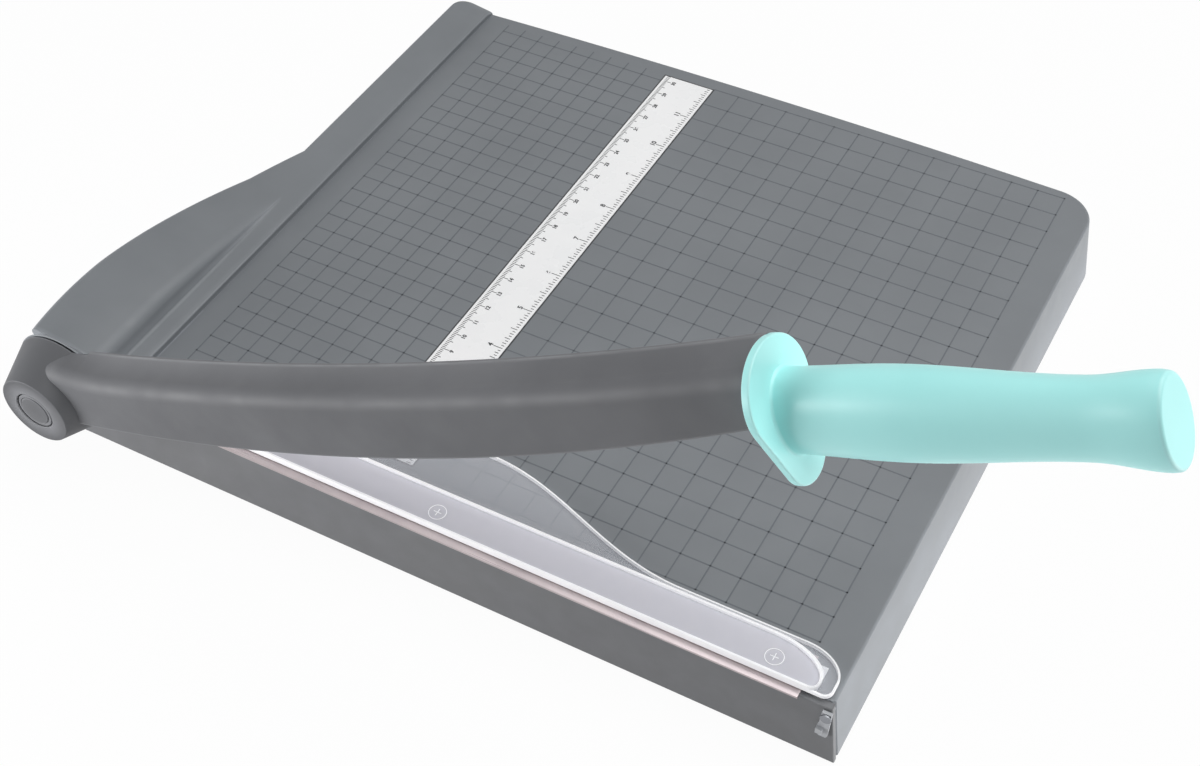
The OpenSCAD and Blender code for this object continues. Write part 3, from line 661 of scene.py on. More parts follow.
    def mark_wear(self) -> None:
        """Store on each vertex how sharply the surface turns outwards there, for paler edges that are part
        rubbed wear and part painted highlight.
        """
        layer = self.bm.verts.layers.float.new("wear_and_highlight")
        for vert in self.bm.verts:
            bend = max((e.calc_face_angle_signed(0.0) for e in vert.link_edges), default=0.0)
            vert[layer] = min(max((bend - WEAR_AND_HIGHLIGHT_FROM) / WEAR_AND_HIGHLIGHT_SPAN, 0.0), 1.0)

    def finish(
        self, name: str, body: Body, slot: Slot, finishes: Sequence[Finish], nodes: Sequence[str] = ()
    ) -> bpy.types.Object:
        """Turn the mesh into a piece of the part.

        Args:
            name: Name of the piece.
            body: Body that the piece rides on.
            slot: Material slot of the record.
            finishes: Finishes, in the order of the faces' material numbers.
            nodes: CAD nodes that the piece stands for.

        Returns:
            The finished piece.
        """
        self.mark_wear()
        bmesh.ops.scale(self.bm, vec=(MM, MM, MM), verts=self.bm.verts[:])
        mesh = bpy.data.meshes.new(name)
        self.bm.verts.layers.int.remove(self.order)
        self.bm.to_mesh(mesh)
        self.bm.free()
        mesh.shade_smooth()
        mesh.set_sharp_from_angle(angle=math.radians(CREASE_DEG))
        for finish in finishes:
            mesh.materials.append(finish.material())
        piece = bpy.data.objects.new(name, mesh)
        bpy.context.scene.collection.objects.link(piece)
        piece.modifiers.new("flat_faces", "WEIGHTED_NORMAL").keep_sharp = True
        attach(piece, body.value)
        if nodes:
            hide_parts(*nodes)
        LOG.info("%s: %d faces on %s", name, len(mesh.polygons), body.value)
        return piece


def cut(piece: bpy.types.Object, low: Point, high: Point) -> None:
    """Cut a box out of a piece.

    Args:
        piece: Piece to cut.
        low: Lowest corner of the box, in millimetres.
        high: Highest corner of the box, in millimetres.
    """
    tool = bmesh.new()
    size = (Vector(high) - Vector(low)) * MM
    matrix = Matrix.Translation((Vector(high) + Vector(low)) / 2 * MM) @ Matrix.Diagonal((*size, 1.0))
    bmesh.ops.create_cube(tool, size=1.0, matrix=matrix)
    mesh = bpy.data.meshes.new("cutter")
    tool.to_mesh(mesh)
    tool.free()
    cutter = bpy.data.objects.new("cutter", mesh)
    bpy.context.scene.collection.objects.link(cutter)
    modifier = piece.modifiers.new("cut", "BOOLEAN")
    modifier.object = cutter
    modifier.solver = "EXACT"
    graph = bpy.context.evaluated_depsgraph_get()
    result = bpy.data.meshes.new_from_object(piece.evaluated_get(graph))
    piece.modifiers.remove(modifier)
    piece.data = result
    bpy.data.objects.remove(cutter)
    bpy.data.meshes.remove(mesh)


@dataclass
class Base:
    """Moulded board with the posts of its feet, and its front rail."""

    half_w: float = HALF_W
    near_y: float = NEAR_Y
    far_y: float = -SHEAR_Y
    floor_z: float = 2.0
    deck_z: float = DECK_Z
    bow: float = 3.4
    draft: float = 3.4
    corner: float = 19.0
    fence_corner: float = 10.0
    fence_x: float = FENCE_X
    notch_y: float = NOTCH_Y
    wall: float = 2.6
    deck_t: float = 3.0
    hem: float = 0.5
    rib: float = 1.8
    rib_up: float = 0.05
    lap: float = 0.5
    post_r: float = 11.0
    cols: int = 8
    rows: int = 7
    edge_r: float = 1.3
    seam_r: float = 0.9
    toe_x: float = -183.6
    rail_y: float = -155.05
    rail_top: float = 35.2
    rail_foot: float = 12.0
    rail_foot_t: float = 2.5
    rail_round: float = 0.6
    rail_end_round: float = 0.8
    feet: tuple[Flat, ...] = (
        (-141.5, -114.65),
        (141.5, -114.65),
        (-141.5, 123.25),
        (141.5, 123.25),
        (0.0, 0.0),
    )

    def far_edge(self, x: float) -> float:
        """Far edge of the deck at x."""
        return self.far_y - self.bow * (x / self.half_w) ** 2

    def outline(self, z: float, grow: float = 0.0, inset: float = 0.0) -> list[Point]:
        """Outline of the base at a height.

        Args:
            z: Height of the outline.
            grow: How far the free and far sides stand out.
            inset: How far the near and fence sides stand in.

        Returns:
            A closed ring of points, the same number for any arguments.
        """
        right, left = self.half_w + grow, -self.half_w + inset
        near, notch_x, notch_y = self.near_y + inset, self.fence_x + inset, self.notch_y + inset
        rx, lx = right - self.corner, left + self.fence_corner
        seam = self.seam_r
        flat: list[Flat] = [(notch_x, near), (0.0, near), (right - seam, near)]
        flat += [(right, near + seam), (right, 0.0)]
        flat += arc((rx, self.far_edge(rx) + grow - self.corner), self.corner, 0, 87, 24)
        flat += [(x, self.far_edge(x) + grow) for x in spread(rx, lx, 40)[1:-1]]
        flat += arc((lx, self.far_edge(lx) + grow - self.fence_corner), self.fence_corner, 93, 180, 14)
        flat += [(left, notch_y), (notch_x, notch_y)]
        return [(x, y, z) for x, y in flat]

    def build_shell(self) -> None:
        """Make the board with its leaning walls, round top edge, ribs and posts."""
        shape = Shape()
        ceiling = self.deck_z - self.deck_t
        rings = [
            self.outline(ceiling, -self.wall, self.wall),
            self.outline(self.floor_z, self.draft - self.wall, self.wall),
            self.outline(self.floor_z, self.draft - self.hem),
            self.outline(self.floor_z + self.hem, self.draft),
            self.outline(self.deck_z - self.edge_r),
        ]
        for c, d in cos_sin(0, 90, 6)[1:]:
            rings.append(self.outline(self.deck_z - self.edge_r * (1 - d), -self.edge_r * (1 - c)))
        rings.append(self.outline(self.deck_z, -self.edge_r - 1.0, 1.0))
        shape.loft(rings)
        half, inside = self.rib / 2, self.wall - self.lap
        low, high = self.floor_z + self.rib_up, ceiling + self.lap
        for x in spread(-self.half_w, self.half_w, self.cols)[1:-1]:
            shape.block((x - half, self.near_y + inside, low), (x + half, self.far_edge(x) - inside, high))
        for y in spread(self.near_y, self.far_y, self.rows)[1:-1]:
            left = self.fence_x if y < self.notch_y else -self.half_w
            shape.block((left + inside, y - half, low), (self.half_w - inside, y + half, high))
        for foot in self.feet:
            shape.post(foot, self.floor_z, high, self.post_r)
        shape.finish("board", Body.BASE, Slot.BOARD, [BOARD_ABS], ["base_shell"])

    def build_rail(self) -> None:
        """Make the front panel with its foot."""
        shape = Shape()
        lean = self.draft * (self.rail_top - self.floor_z) / (self.deck_z - self.floor_z)
        right = self.half_w + self.draft
        outline = [(self.toe_x, self.floor_z), (right, self.floor_z)]
        outline += [(right - lean, self.rail_top), (self.toe_x, self.rail_top)]
        shape.loft([[(x, y, z) for x, z in outline] for y in (self.rail_y, self.near_y - 0.02)])
        back, end = self.near_y - 0.1, right - lean - 1
        shape.soften(lambda e: all(v.co.y < self.rail_y + 0.1 for v in e.verts), self.rail_round)
        shape.soften(lambda e: all(v.co.y > back and v.co.x > end for v in e.verts), self.rail_end_round)
        shape.block(
            (self.fence_x, self.near_y - self.lap, self.floor_z - 0.04),
            (self.half_w - self.wall - 2, self.near_y + self.rail_foot, self.floor_z + self.rail_foot_t),
        )
        shape.finish("front_panel", Body.BASE, Slot.RAIL, [RAIL_ABS], ["front_rail"])


@dataclass
class Fence:
    """Fence along the board with the low pivot pod at its near end."""

    left_x: float = -HALF_W
    fence_x: float = FENCE_X
    foot_x: float = -161.5
    deck_z: float = DECK_Z
    floor_z: float = 2.02
    top_z: float = 42.3
    inner_z: float = 39.0
    end_r: float = 8.0
    end_fall: float = 2.4
    near_y: float = NEAR_Y
    shear_y: float = SHEAR_Y
    notch_y: float = NOTCH_Y
    pivot_x: float = PIVOT_X
    pivot_z: float = PIVOT_Z
    pod_out: float = 27.0
    pod_h: float = 8.5
    crown: float = 1.2
    toe_in: float = 12.5
    draw_in: float = 2.2
    full_y: float = -122.05
    rise_y: float = -20.05
    high_y: float = -108.05
    tail_y: float = 9.95
    flare_ease: float = 1.8
    lift_ease: float = 1.25
    toe_run: float = 26.0
    shoulder: float = 5.5
    fillet: float = 1.4
    draft: float = 0.8
    seam_r: float = 23.7
    seam_y: float = -160.75
    root_r: float = 10.0
    rim: float = 0.3
    rim_w: float = 0.6
    edge_r: float = 0.9
    pod_edge: float = 2.6
    base: Base = field(default_factory=Base)

    def far_end(self) -> float:
        """Far end of the fence."""
        return self.base.far_edge(self.left_x + self.base.fence_corner) - 0.02

    def flare(self, y: float) -> float:
        """How far the pod stands out.

        Args:
            y: Place along the fence.

        Returns:
            A share, from 0 at the pod's tail to 1 at its widest.
        """
        if y < self.full_y:
            pull = ((self.full_y - y) / (self.full_y - self.near_y)) ** 2
            return 1.0 - self.draw_in / self.pod_out * pull
        u = min(1.0, (y - self.full_y) / (self.tail_y - self.full_y))
        return 1.0 - u**self.flare_ease

    def lift(self, y: float) -> float:
        """How far the pod's shoulder has risen at y, from 0 to 1."""
        t = min(max((self.rise_y - y) / (self.rise_y - self.high_y), 0.0), 1.0)
        return 1.0 - (1.0 - t) ** self.lift_ease

    def wall_x(self, y: float) -> float:
        """Outer wall of fence and pod, with the round far corner.

        Args:
            y: Place along the fence.

        Returns:
            X of the wall.
        """
        r = self.base.fence_corner
        rise = max(0.0, y - (self.far_end() - r))
        return self.left_x + r - math.sqrt(max(0.0, r * r - rise * rise)) - self.pod_out * self.flare(y)

    def top_at(self, x: float, y: float) -> float:
        """Height of the fence's top, which leans towards the board and rounds off at its far end.

        Args:
            x: Place across the fence.
            y: Place along the fence.

        Returns:
            Z of the top, without the pod.
        """
        lean = (self.fence_x - x) / (self.fence_x - self.left_x)
        near_end = max(0.0, y - (self.far_end() - self.end_r)) / self.end_r
        fall = self.end_fall * (1 - math.sqrt(max(0.0, 1 - near_end * near_end)))
        return self.inner_z + (self.top_z - self.inner_z) * lean - fall

    def step(self) -> list[Flat]:
        """Profile of the step from the ledge up to the pod.

        Returns:
            Places left of the step's foot, each with its share of the pod's height.
        """
        curl, bend = self.fillet / self.pod_h, self.shoulder / self.pod_h
        foot = [(self.fillet * (d - 1), curl * (1 - c)) for c, d in cos_sin(0, 90, 4)]
        brow = [(self.draft + self.shoulder * (1 - c), 1 - bend * (1 - d)) for c, d in cos_sin(0, 90, 8)]
        return foot + brow

    def section(self, y: float) -> list[Point]:
        """One cross-section of fence and pod, walked from the inner foot over the top.

        Args:
            y: Place of the section.

        Returns:
            A closed ring of points, the same number at any y.
        """
        k, lift, left = self.flare(y), self.lift(y), self.wall_x(y)
        e, edge, low = self.edge_r, self.edge_r + (self.pod_edge - self.edge_r) * k, self.deck_z - 0.4
        start, stop = self.fence_x - e - 0.6, left + edge
        squeeze = min(1.0, (start - stop) / (start - self.left_x - e))
        inner = self.top_at(self.fence_x, y)
        flat: list[Flat] = [(self.fence_x, low), (self.fence_x, inner - e - 0.4)]
        flat += arc((self.fence_x - e, inner - e), e, 0, 80, 5)
        profile = [(x, 0.0) for x in spread(start, self.foot_x + self.fillet + 0.3, 4)]
        profile += [(self.foot_x - out, share) for out, share in self.step()]
        for x, share in profile:
            place = start + (x - start) * squeeze
            flat.append((place, self.top_at(place, y) + self.pod_h * lift * share))
        brow = flat[-1][0]
        for v in spread(0, 1, 14)[1:]:
            x = brow + (stop - brow) * v
            flat.append((x, self.top_at(x, y) + lift * (self.pod_h + 4 * self.crown * v * (1 - v))))
        flat += arc((stop, flat[-1][1] - edge), edge, 96, 180, 7)
        brink = flat[-1][1]
        inside = max(self.left_x + 1.2, left + 1.0)
        sweep = min(self.toe_in * k, inside - left)
        keel = low
        if k:
            keel = min(low, max(self.floor_z, brink - (brink - self.floor_z) * sweep / (self.toe_in * k)))
        flat += [(left + sweep * (v if k else 0.0), brink + (keel - brink) * v) for v in spread(0, 1, 6)[1:]]
        behind = max(inside, left + sweep)
        flat += [(behind + 0.3, keel), (behind + 0.6, low)]
        return [(x, y, z) for x, z in flat]

    def build(self) -> None:
        """Make the fence with its pod, the ledge at the strip, the boss and the block in the corner."""
        shape = Shape()
        far = self.far_end()
        run = self.base.fence_corner
        stations = [far - run + run * d for _, d in cos_sin(90, 0, 14)]
        stations += spread(far - run, self.tail_y + 1, 6)[1:]
        stations += spread(self.tail_y, self.near_y, 72)
        shape.loft([self.section(y) for y in stations])
        e, inner = self.edge_r, self.top_at(self.fence_x, self.near_y)
        ledge: list[Flat] = [(self.fence_x, self.base.rail_top), (self.fence_x, inner - e - 0.4)]
        ledge += arc((self.fence_x - e, inner - e), e, 0, 80, 5)
        stop = self.foot_x - 2
        ledge += [(x, self.top_at(x, self.near_y)) for x in spread(self.fence_x - e - 0.6, stop, 3)]
        ledge.append((stop, self.base.rail_top))
        shape.loft([[(x, y, z) for x, z in ledge] for y in (self.near_y + 0.5, self.shear_y)])
        rim, back, brim = self.rim, self.near_y + 0.3, self.seam_y + self.rim_w
        profile: list[Flat] = [(0.0, back), (self.root_r, back), (self.seam_r - rim, brim + rim)]
        profile.append((self.seam_r, brim))
        profile += [(self.seam_r - rim * (1 - c), self.seam_y + rim * (1 - d)) for c, d in cos_sin(0, 90, 5)]
        profile.append((0.0, self.seam_y))
        shape.turn(profile, (self.pivot_x, 0.0, self.pivot_z), Axis.ACROSS)
        toe, near = self.base.toe_x, self.near_y - 0.01
        plan = [(self.fence_x, self.notch_y), (self.left_x, self.notch_y), (toe, near + self.toe_run)]
        plan += [(toe, near), (self.fence_x, near)]
        shape.plate(plan, self.floor_z - 0.02, self.deck_z - 1.0)
        shape.finish("fence", Body.BASE, Slot.BOARD, [BOARD_ABS], ["fence_housing"])


@dataclass
class CuttingEdge:
    """Fixed steel strip along the near side of the board."""

    left_x: float = -152.65
    right_x: float = 158.5
    front_y: float = SHEAR_Y
    width: float = 20.0
    low_z: float = 35.2
    top_z: float = 36.12
    land: float = 0.25
    screw_xs: tuple[float, ...] = (-143.7, 0.4, 144.6)
    screw_in: float = 10.6
    head_r: float = 3.4
    head_h: float = 0.9
    head_rim: float = 0.25
    sunk: float = 0.4
    recess_long: float = 0.62
    recess_thin: float = 0.14
    recess_floor: float = 0.25

    def build(self) -> None:
        """Make the strip with a ground land along its cutting edge."""
        shape = Shape()
        shape.block(
            (self.left_x, self.front_y, self.low_z), (self.right_x, self.front_y + self.width, self.top_z)
        )
        shape.soften(lambda e: all(v.co.z > self.top_z - 0.01 for v in e.verts), self.land, 2)
        shape.finish("steel_strip", Body.BASE, Slot.EDGE, [GROUND_STEEL], ["bed_knife"])

    def build_screws(self) -> None:
        """Make the low round-headed screws with their cross recesses."""
        shape = Shape()
        r, low, rise, y = self.head_r, self.top_z - self.sunk, self.head_h, self.front_y + self.screw_in
        brim, dome = self.top_z + self.head_rim, rise - self.head_rim
        profile: list[Flat] = [(0.0, low), (r, low), (r, brim)]
        for a in map(math.radians, (20, 40, 60, 75)):
            profile.append((r * math.cos(a), brim + dome * math.sin(a)))
        profile.append((0.0, self.top_z + rise))
        for x in self.screw_xs:
            shape.turn(profile, (x, y, 0.0), Axis.UP, 40)
        piece = shape.finish("strip_screws", Body.BASE, Slot.SCREW, [SPRING_STEEL], ["bed_knife_screws"])
        arm, half, depth = r * self.recess_long, r * self.recess_thin, self.top_z + rise * self.recess_floor
        for x in self.screw_xs:
            for dx, dy in ((arm, half), (half, arm)):
                cut(piece, (x - dx, y - dy, depth), (x + dx, y + dy, self.top_z + 3))


@dataclass
class Guard:
    """Clear finger guard: a tray with a rib round it and a wavy sheet behind."""

    start_x: float = -152.1
    end_x: float = 169.6
    front_y: float = -153.3
    width: float = 17.25
    low_z: float = 36.45
    thick: float = 1.8
    rib_h: float = 1.6
    rib_t: float = 1.1
    rib_end: float = 5.4
    front_r: float = 3.75
    rib_corner: Flat = (23.0, 12.0)
    plate_corner: Flat = (17.0, 12.0)
    mid_x: float = 2.9
    half_wave: float = 98.0
    # Width of the white band painted as highlight along the plate's two flats
    reach: float = 26.0
    rim: float = 2.4
    border: float = 0.5
    edge_turn: float = 1.2
    edge_round: float = 0.3
    rib_round: float = 0.4
    frost: Flat = (-0.05, 0.15)
    foot_x: float = 159.7
    foot_front: float = 2.0
    foot_end: float = 6.0
    foot_back: float = 4.0
    well_r: float = 3.7
    well_t: float = 0.3
    cross: float = 1.7
    cross_t: float = 0.32
    mark_h: float = 0.2

    def tray(self, inset: float) -> list[Flat]:
        """Outline of the tray, round at its free end.

        Args:
            inset: How far the outline is drawn in.

        Returns:
            Points of the outline.
        """
        e = self.end_x - self.rib_end
        front_r, back = self.front_r, self.front_y + self.width
        outline = [(self.start_x + inset, back - inset), (self.start_x + inset, self.front_y + inset)]
        outline += arc((e - front_r, self.front_y + front_r), front_r - inset, -90, 0, 10)
        outline += self.corner((e - inset, back - inset), self.rib_corner)
        return outline

    def corner(self, tip: Flat, size: Flat) -> list[Flat]:
        """Points of a quarter ellipse from the free end to the far side, inside a corner."""
        return [(tip[0] + size[0] * (c - 1), tip[1] + size[1] * (d - 1)) for c, d in cos_sin(0, 90, 20)]

    def sheet(self) -> list[Flat]:
        """Outline of the whole plate with its wavy far edge.

        Returns:
            Points of the outline.
        """
        back = self.front_y + self.width
        outline = [(self.start_x, back + self.rim), (self.start_x, self.front_y)]
        outline += arc((self.end_x - self.front_r, self.front_y + self.front_r), self.front_r, -90, 0, 10)
        outline += self.corner((self.end_x, back + self.rim), self.plate_corner)
        for u in spread(1, -1, 96):
            rise = (self.reach - self.rim) * (0.5 + 0.5 * math.cos(math.pi * u))
            outline.append((self.mid_x + self.half_wave * u, back + self.rim + rise))
        return outline

    def build(self) -> None:
        """Make the plate with a white border painted as highlight, the rib, the foot, the tray floor and the
        screw marks.
        """
        shape = Shape()
        top = self.low_z + self.thick
        shape.plate(self.sheet(), self.low_z, top)
        shape.soften(lambda e: abs(e.calc_face_angle(0.0)) > self.edge_turn, self.edge_round, 2)
        # Every face starts in the white, faintly glowing edge finish as painted highlight; the two large
        # flats go back to clear, each keeping a thin white band along its edge as painted highlight
        shape.paint(set(), 1)
        flats = sorted(shape.bm.faces, key=lambda f: -f.calc_area())[:2]
        for face in flats:
            face.material_index = 0
            border = bmesh.ops.inset_region(
                shape.bm, faces=[face], thickness=self.border, use_even_offset=True
            )
            for rim in border["faces"]:
                rim.material_index = 1
        before = set(shape.bm.faces)
        outer, inner, high = self.tray(0.0), self.tray(self.rib_t), top + self.rib_h
        levels = ((inner, top - 0.1), (inner, high), (outer, high), (outer, top - 0.1))
        shape.loft([[(x, y, z) for x, y in outline] for outline, z in levels], hoop=True)
        shape.soften(lambda e: all(v.co.z > high - 0.01 for v in e.verts), self.rib_round, 2)
        near, far = self.front_y + self.foot_front, self.front_y + self.width - self.foot_back
        shape.block((self.foot_x, near, DECK_Z), (self.end_x - self.foot_end, far, self.low_z))
        # The rib and the foot take the white edge finish as painted highlight
        shape.paint(before, 1)
        before = set(shape.bm.faces)
        shape.plate(self.tray(self.rib_t - 0.1), top + self.frost[0], top + self.frost[1])
        shape.paint(before, 2)
        before = set(shape.bm.faces)
        # The heads hardly show through the frost, so a ring and a cross in the white, faintly glowing edge
        # finish mark each one on the tray floor as painted highlight
        edge, r, low = CuttingEdge(), self.well_r, top + 0.1
        y, half, rise = edge.front_y + edge.screw_in, self.cross_t / 2, low + self.mark_h
        well: list[Flat] = [(r - self.well_t, low), (r - self.well_t, rise), (r, rise), (r, low)]
        for screw in edge.screw_xs:
            rings = [[(px, py, z) for px, py in arc((screw, y), a, 0, 352.5, 47)] for a, z in well]
            shape.loft(rings, hoop=True)
            for dx, dy in ((self.cross, half), (half, self.cross)):
                shape.block((screw - dx, y - dy, low), (screw + dx, y + dy, rise))
        shape.paint(before, 1)
        finishes = [GUARD_SHEET, GUARD_EDGE_HIGHLIGHT, GUARD_FROST]
        shape.finish("clear_guard", Body.BASE, Slot.CLEAR, finishes, ["finger_guard"])


@dataclass
class Print:
    """Printed grid on the board, and the white rule with its ticks and numbers."""

    deck_z: float = DECK_Z
    film: float = 0.05
    line: float = 0.6
    frame_w: float = 0.7
    grid_right: float = 156.0
    grid_far: float = 148.75
    cm_right: float = -60.1
    inch_cells: tuple[int, int] = (14, 23)
    cm_columns: int = 9
    shear_y: float = SHEAR_Y
    rule_x: tuple[float, float] = (-48.7, -22.7)
    rule_y: tuple[float, float] = (-128.65, 147.75)
    rule_top: float = 36.2
    inch: float = 25.4
    tick_in: float = 1.2
    tick_t: float = 0.32
    inch_tick_t: float = 0.34
    cm_ticks: tuple[tuple[int, float], ...] = ((10, 4.0), (5, 2.9), (1, 1.7))
    cm_numbers: tuple[int, int] = (3, 31)
    inch_numbers: tuple[int, int] = (2, 12)
    mm_run: tuple[int, int] = (29, 305)
    sixteenth_run: tuple[int, int] = (18, 192)
    cm_size: float = 2.6
    cm_in: float = 6.6
    inch_size: float = 3.4
    inch_in: float = 7.0
    bold: float = 0.1
    inch_ticks: tuple[tuple[int, float], ...] = ((16, 4.4), (8, 3.2), (4, 2.5), (2, 1.9), (1, 1.4))

    def strip(self, shape: Shape, low: Flat, high: Flat, z: float) -> None:
        """Lay one thin bar between two corners: print, and the dark line of painted gap shadow round the
        rule.
        """
        shape.block((low[0], low[1], z - self.film), (high[0], high[1], z + self.film))

    def build_grid(self) -> None:
        """Print the half-inch grid and the centimetre grid."""
        shape = Shape()
        half = self.line / 2
        z = self.deck_z
        inch_xs = [self.grid_right - self.inch / 2 * i for i in range(self.inch_cells[0])]
        inch_ys = [self.grid_far - self.inch / 2 * j for j in range(self.inch_cells[1])]
        for x in inch_xs:
            self.strip(shape, (x - half, inch_ys[-1] - half), (x + half, inch_ys[0] + half), z)
        for y in inch_ys:
            self.strip(shape, (self.rule_x[1] + 0.4, y - half), (inch_xs[0] + half, y + half), z)
        cm_xs = [self.cm_right - 10 * i for i in range(self.cm_columns)]
        cm_ys = [self.shear_y + 10 * j for j in range(*self.cm_numbers)]
        for x in cm_xs:
            self.strip(shape, (x - half, cm_ys[0] - half), (x + half, self.grid_far), z)
        for y in cm_ys:
            self.strip(shape, (cm_xs[-1] - half, y - half), (self.rule_x[0] - 0.4, y + half), z)
        shape.finish("printed_grid", Body.BASE, Slot.RAIL, [GRID_INK])

    def build_rule(self) -> None:
        """Make the white strip, a dark line around it that is painted shadow of the gap round its pocket,
        its ticks and its numbers.
        """
        shape = Shape()
        (x0, x1), (y0, y1) = self.rule_x, self.rule_y
        shape.block((x0, y0, self.deck_z - 0.6), (x1, y1, self.rule_top))
        shape.soften(lambda e: all(v.co.z > self.rule_top - 0.01 for v in e.verts), 0.12, 2)
        shape.finish("white_rule", Body.BASE, Slot.RULE, [RULE_STYRENE], ["rule_plate"])
        # The dark frame is painted shadow: it stands for the shaded gap between the rule and its pocket
        frame = Shape()
        gap = self.frame_w
        for low, high in (
            ((x0 - gap, y0 - gap), (x0, y1 + gap)),
            ((x1, y0 - gap), (x1 + gap, y1 + gap)),
            ((x0, y1), (x1, y1 + gap)),
            ((x0, y0 - gap), (x1, y0)),
        ):
            self.strip(frame, low, high, self.deck_z + 0.02)
        self.ticks(frame)
        self.numbers(frame)
        frame.finish("rule_print_and_gap_shadow", Body.BASE, Slot.RAIL, [RULE_INK_AND_GAP_SHADOW])

    def ticks(self, shape: Shape) -> None:
        """Print millimetre ticks on the fence side and sixteenths of an inch on the free side.

        Args:
            shape: Print that gets the ticks.
        """
        left, right = self.rule_x[0] + self.tick_in, self.rule_x[1] - self.tick_in
        for mm in range(*self.mm_run):
            long = next(size for step, size in self.cm_ticks if mm % step == 0)
            y, half = self.shear_y + mm, self.tick_t / 2
            self.strip(shape, (left, y - half), (left + long, y + half), self.rule_top)
        for n in range(*self.sixteenth_run):
            long = next(size for step, size in self.inch_ticks if n % step == 0)
            y, half = self.shear_y + self.inch * n / 16, self.inch_tick_t / 2
            self.strip(shape, (right - long, y - half), (right, y + half), self.rule_top)

    def numbers(self, shape: Shape) -> None:
        """Print the centimetre and inch numbers, read along the rule.

        Args:
            shape: Print that gets the numbers.
        """
        quarter = Matrix.Rotation(math.radians(90), 4, "Z")
        left, right = self.rule_x[0] + self.cm_in, self.rule_x[1] - self.inch_in
        marks = [(str(n), left, self.shear_y + 10 * n, self.cm_size) for n in range(*self.cm_numbers)]
        for n in range(*self.inch_numbers):
            marks.append((str(n), right, self.shear_y + self.inch * n, self.inch_size))
        for text, x, y, size in marks:
            curve = bpy.data.curves.new("number", "FONT")
            curve.body = text
            curve.size = size
            curve.align_x = "CENTER"
            curve.align_y = "CENTER"
            curve.extrude = self.film
            curve.offset = self.bold
            holder = bpy.data.objects.new("number", curve)
            bpy.context.scene.collection.objects.link(holder)
            graph = bpy.context.evaluated_depsgraph_get()
            mesh = bpy.data.meshes.new_from_object(holder.evaluated_get(graph))
            mesh.transform(Matrix.Translation((x, y, self.rule_top)) @ quarter)
            shape.bm.from_mesh(mesh)
            bpy.data.objects.remove(holder)
            bpy.data.curves.remove(curve)
            bpy.data.meshes.remove(mesh)


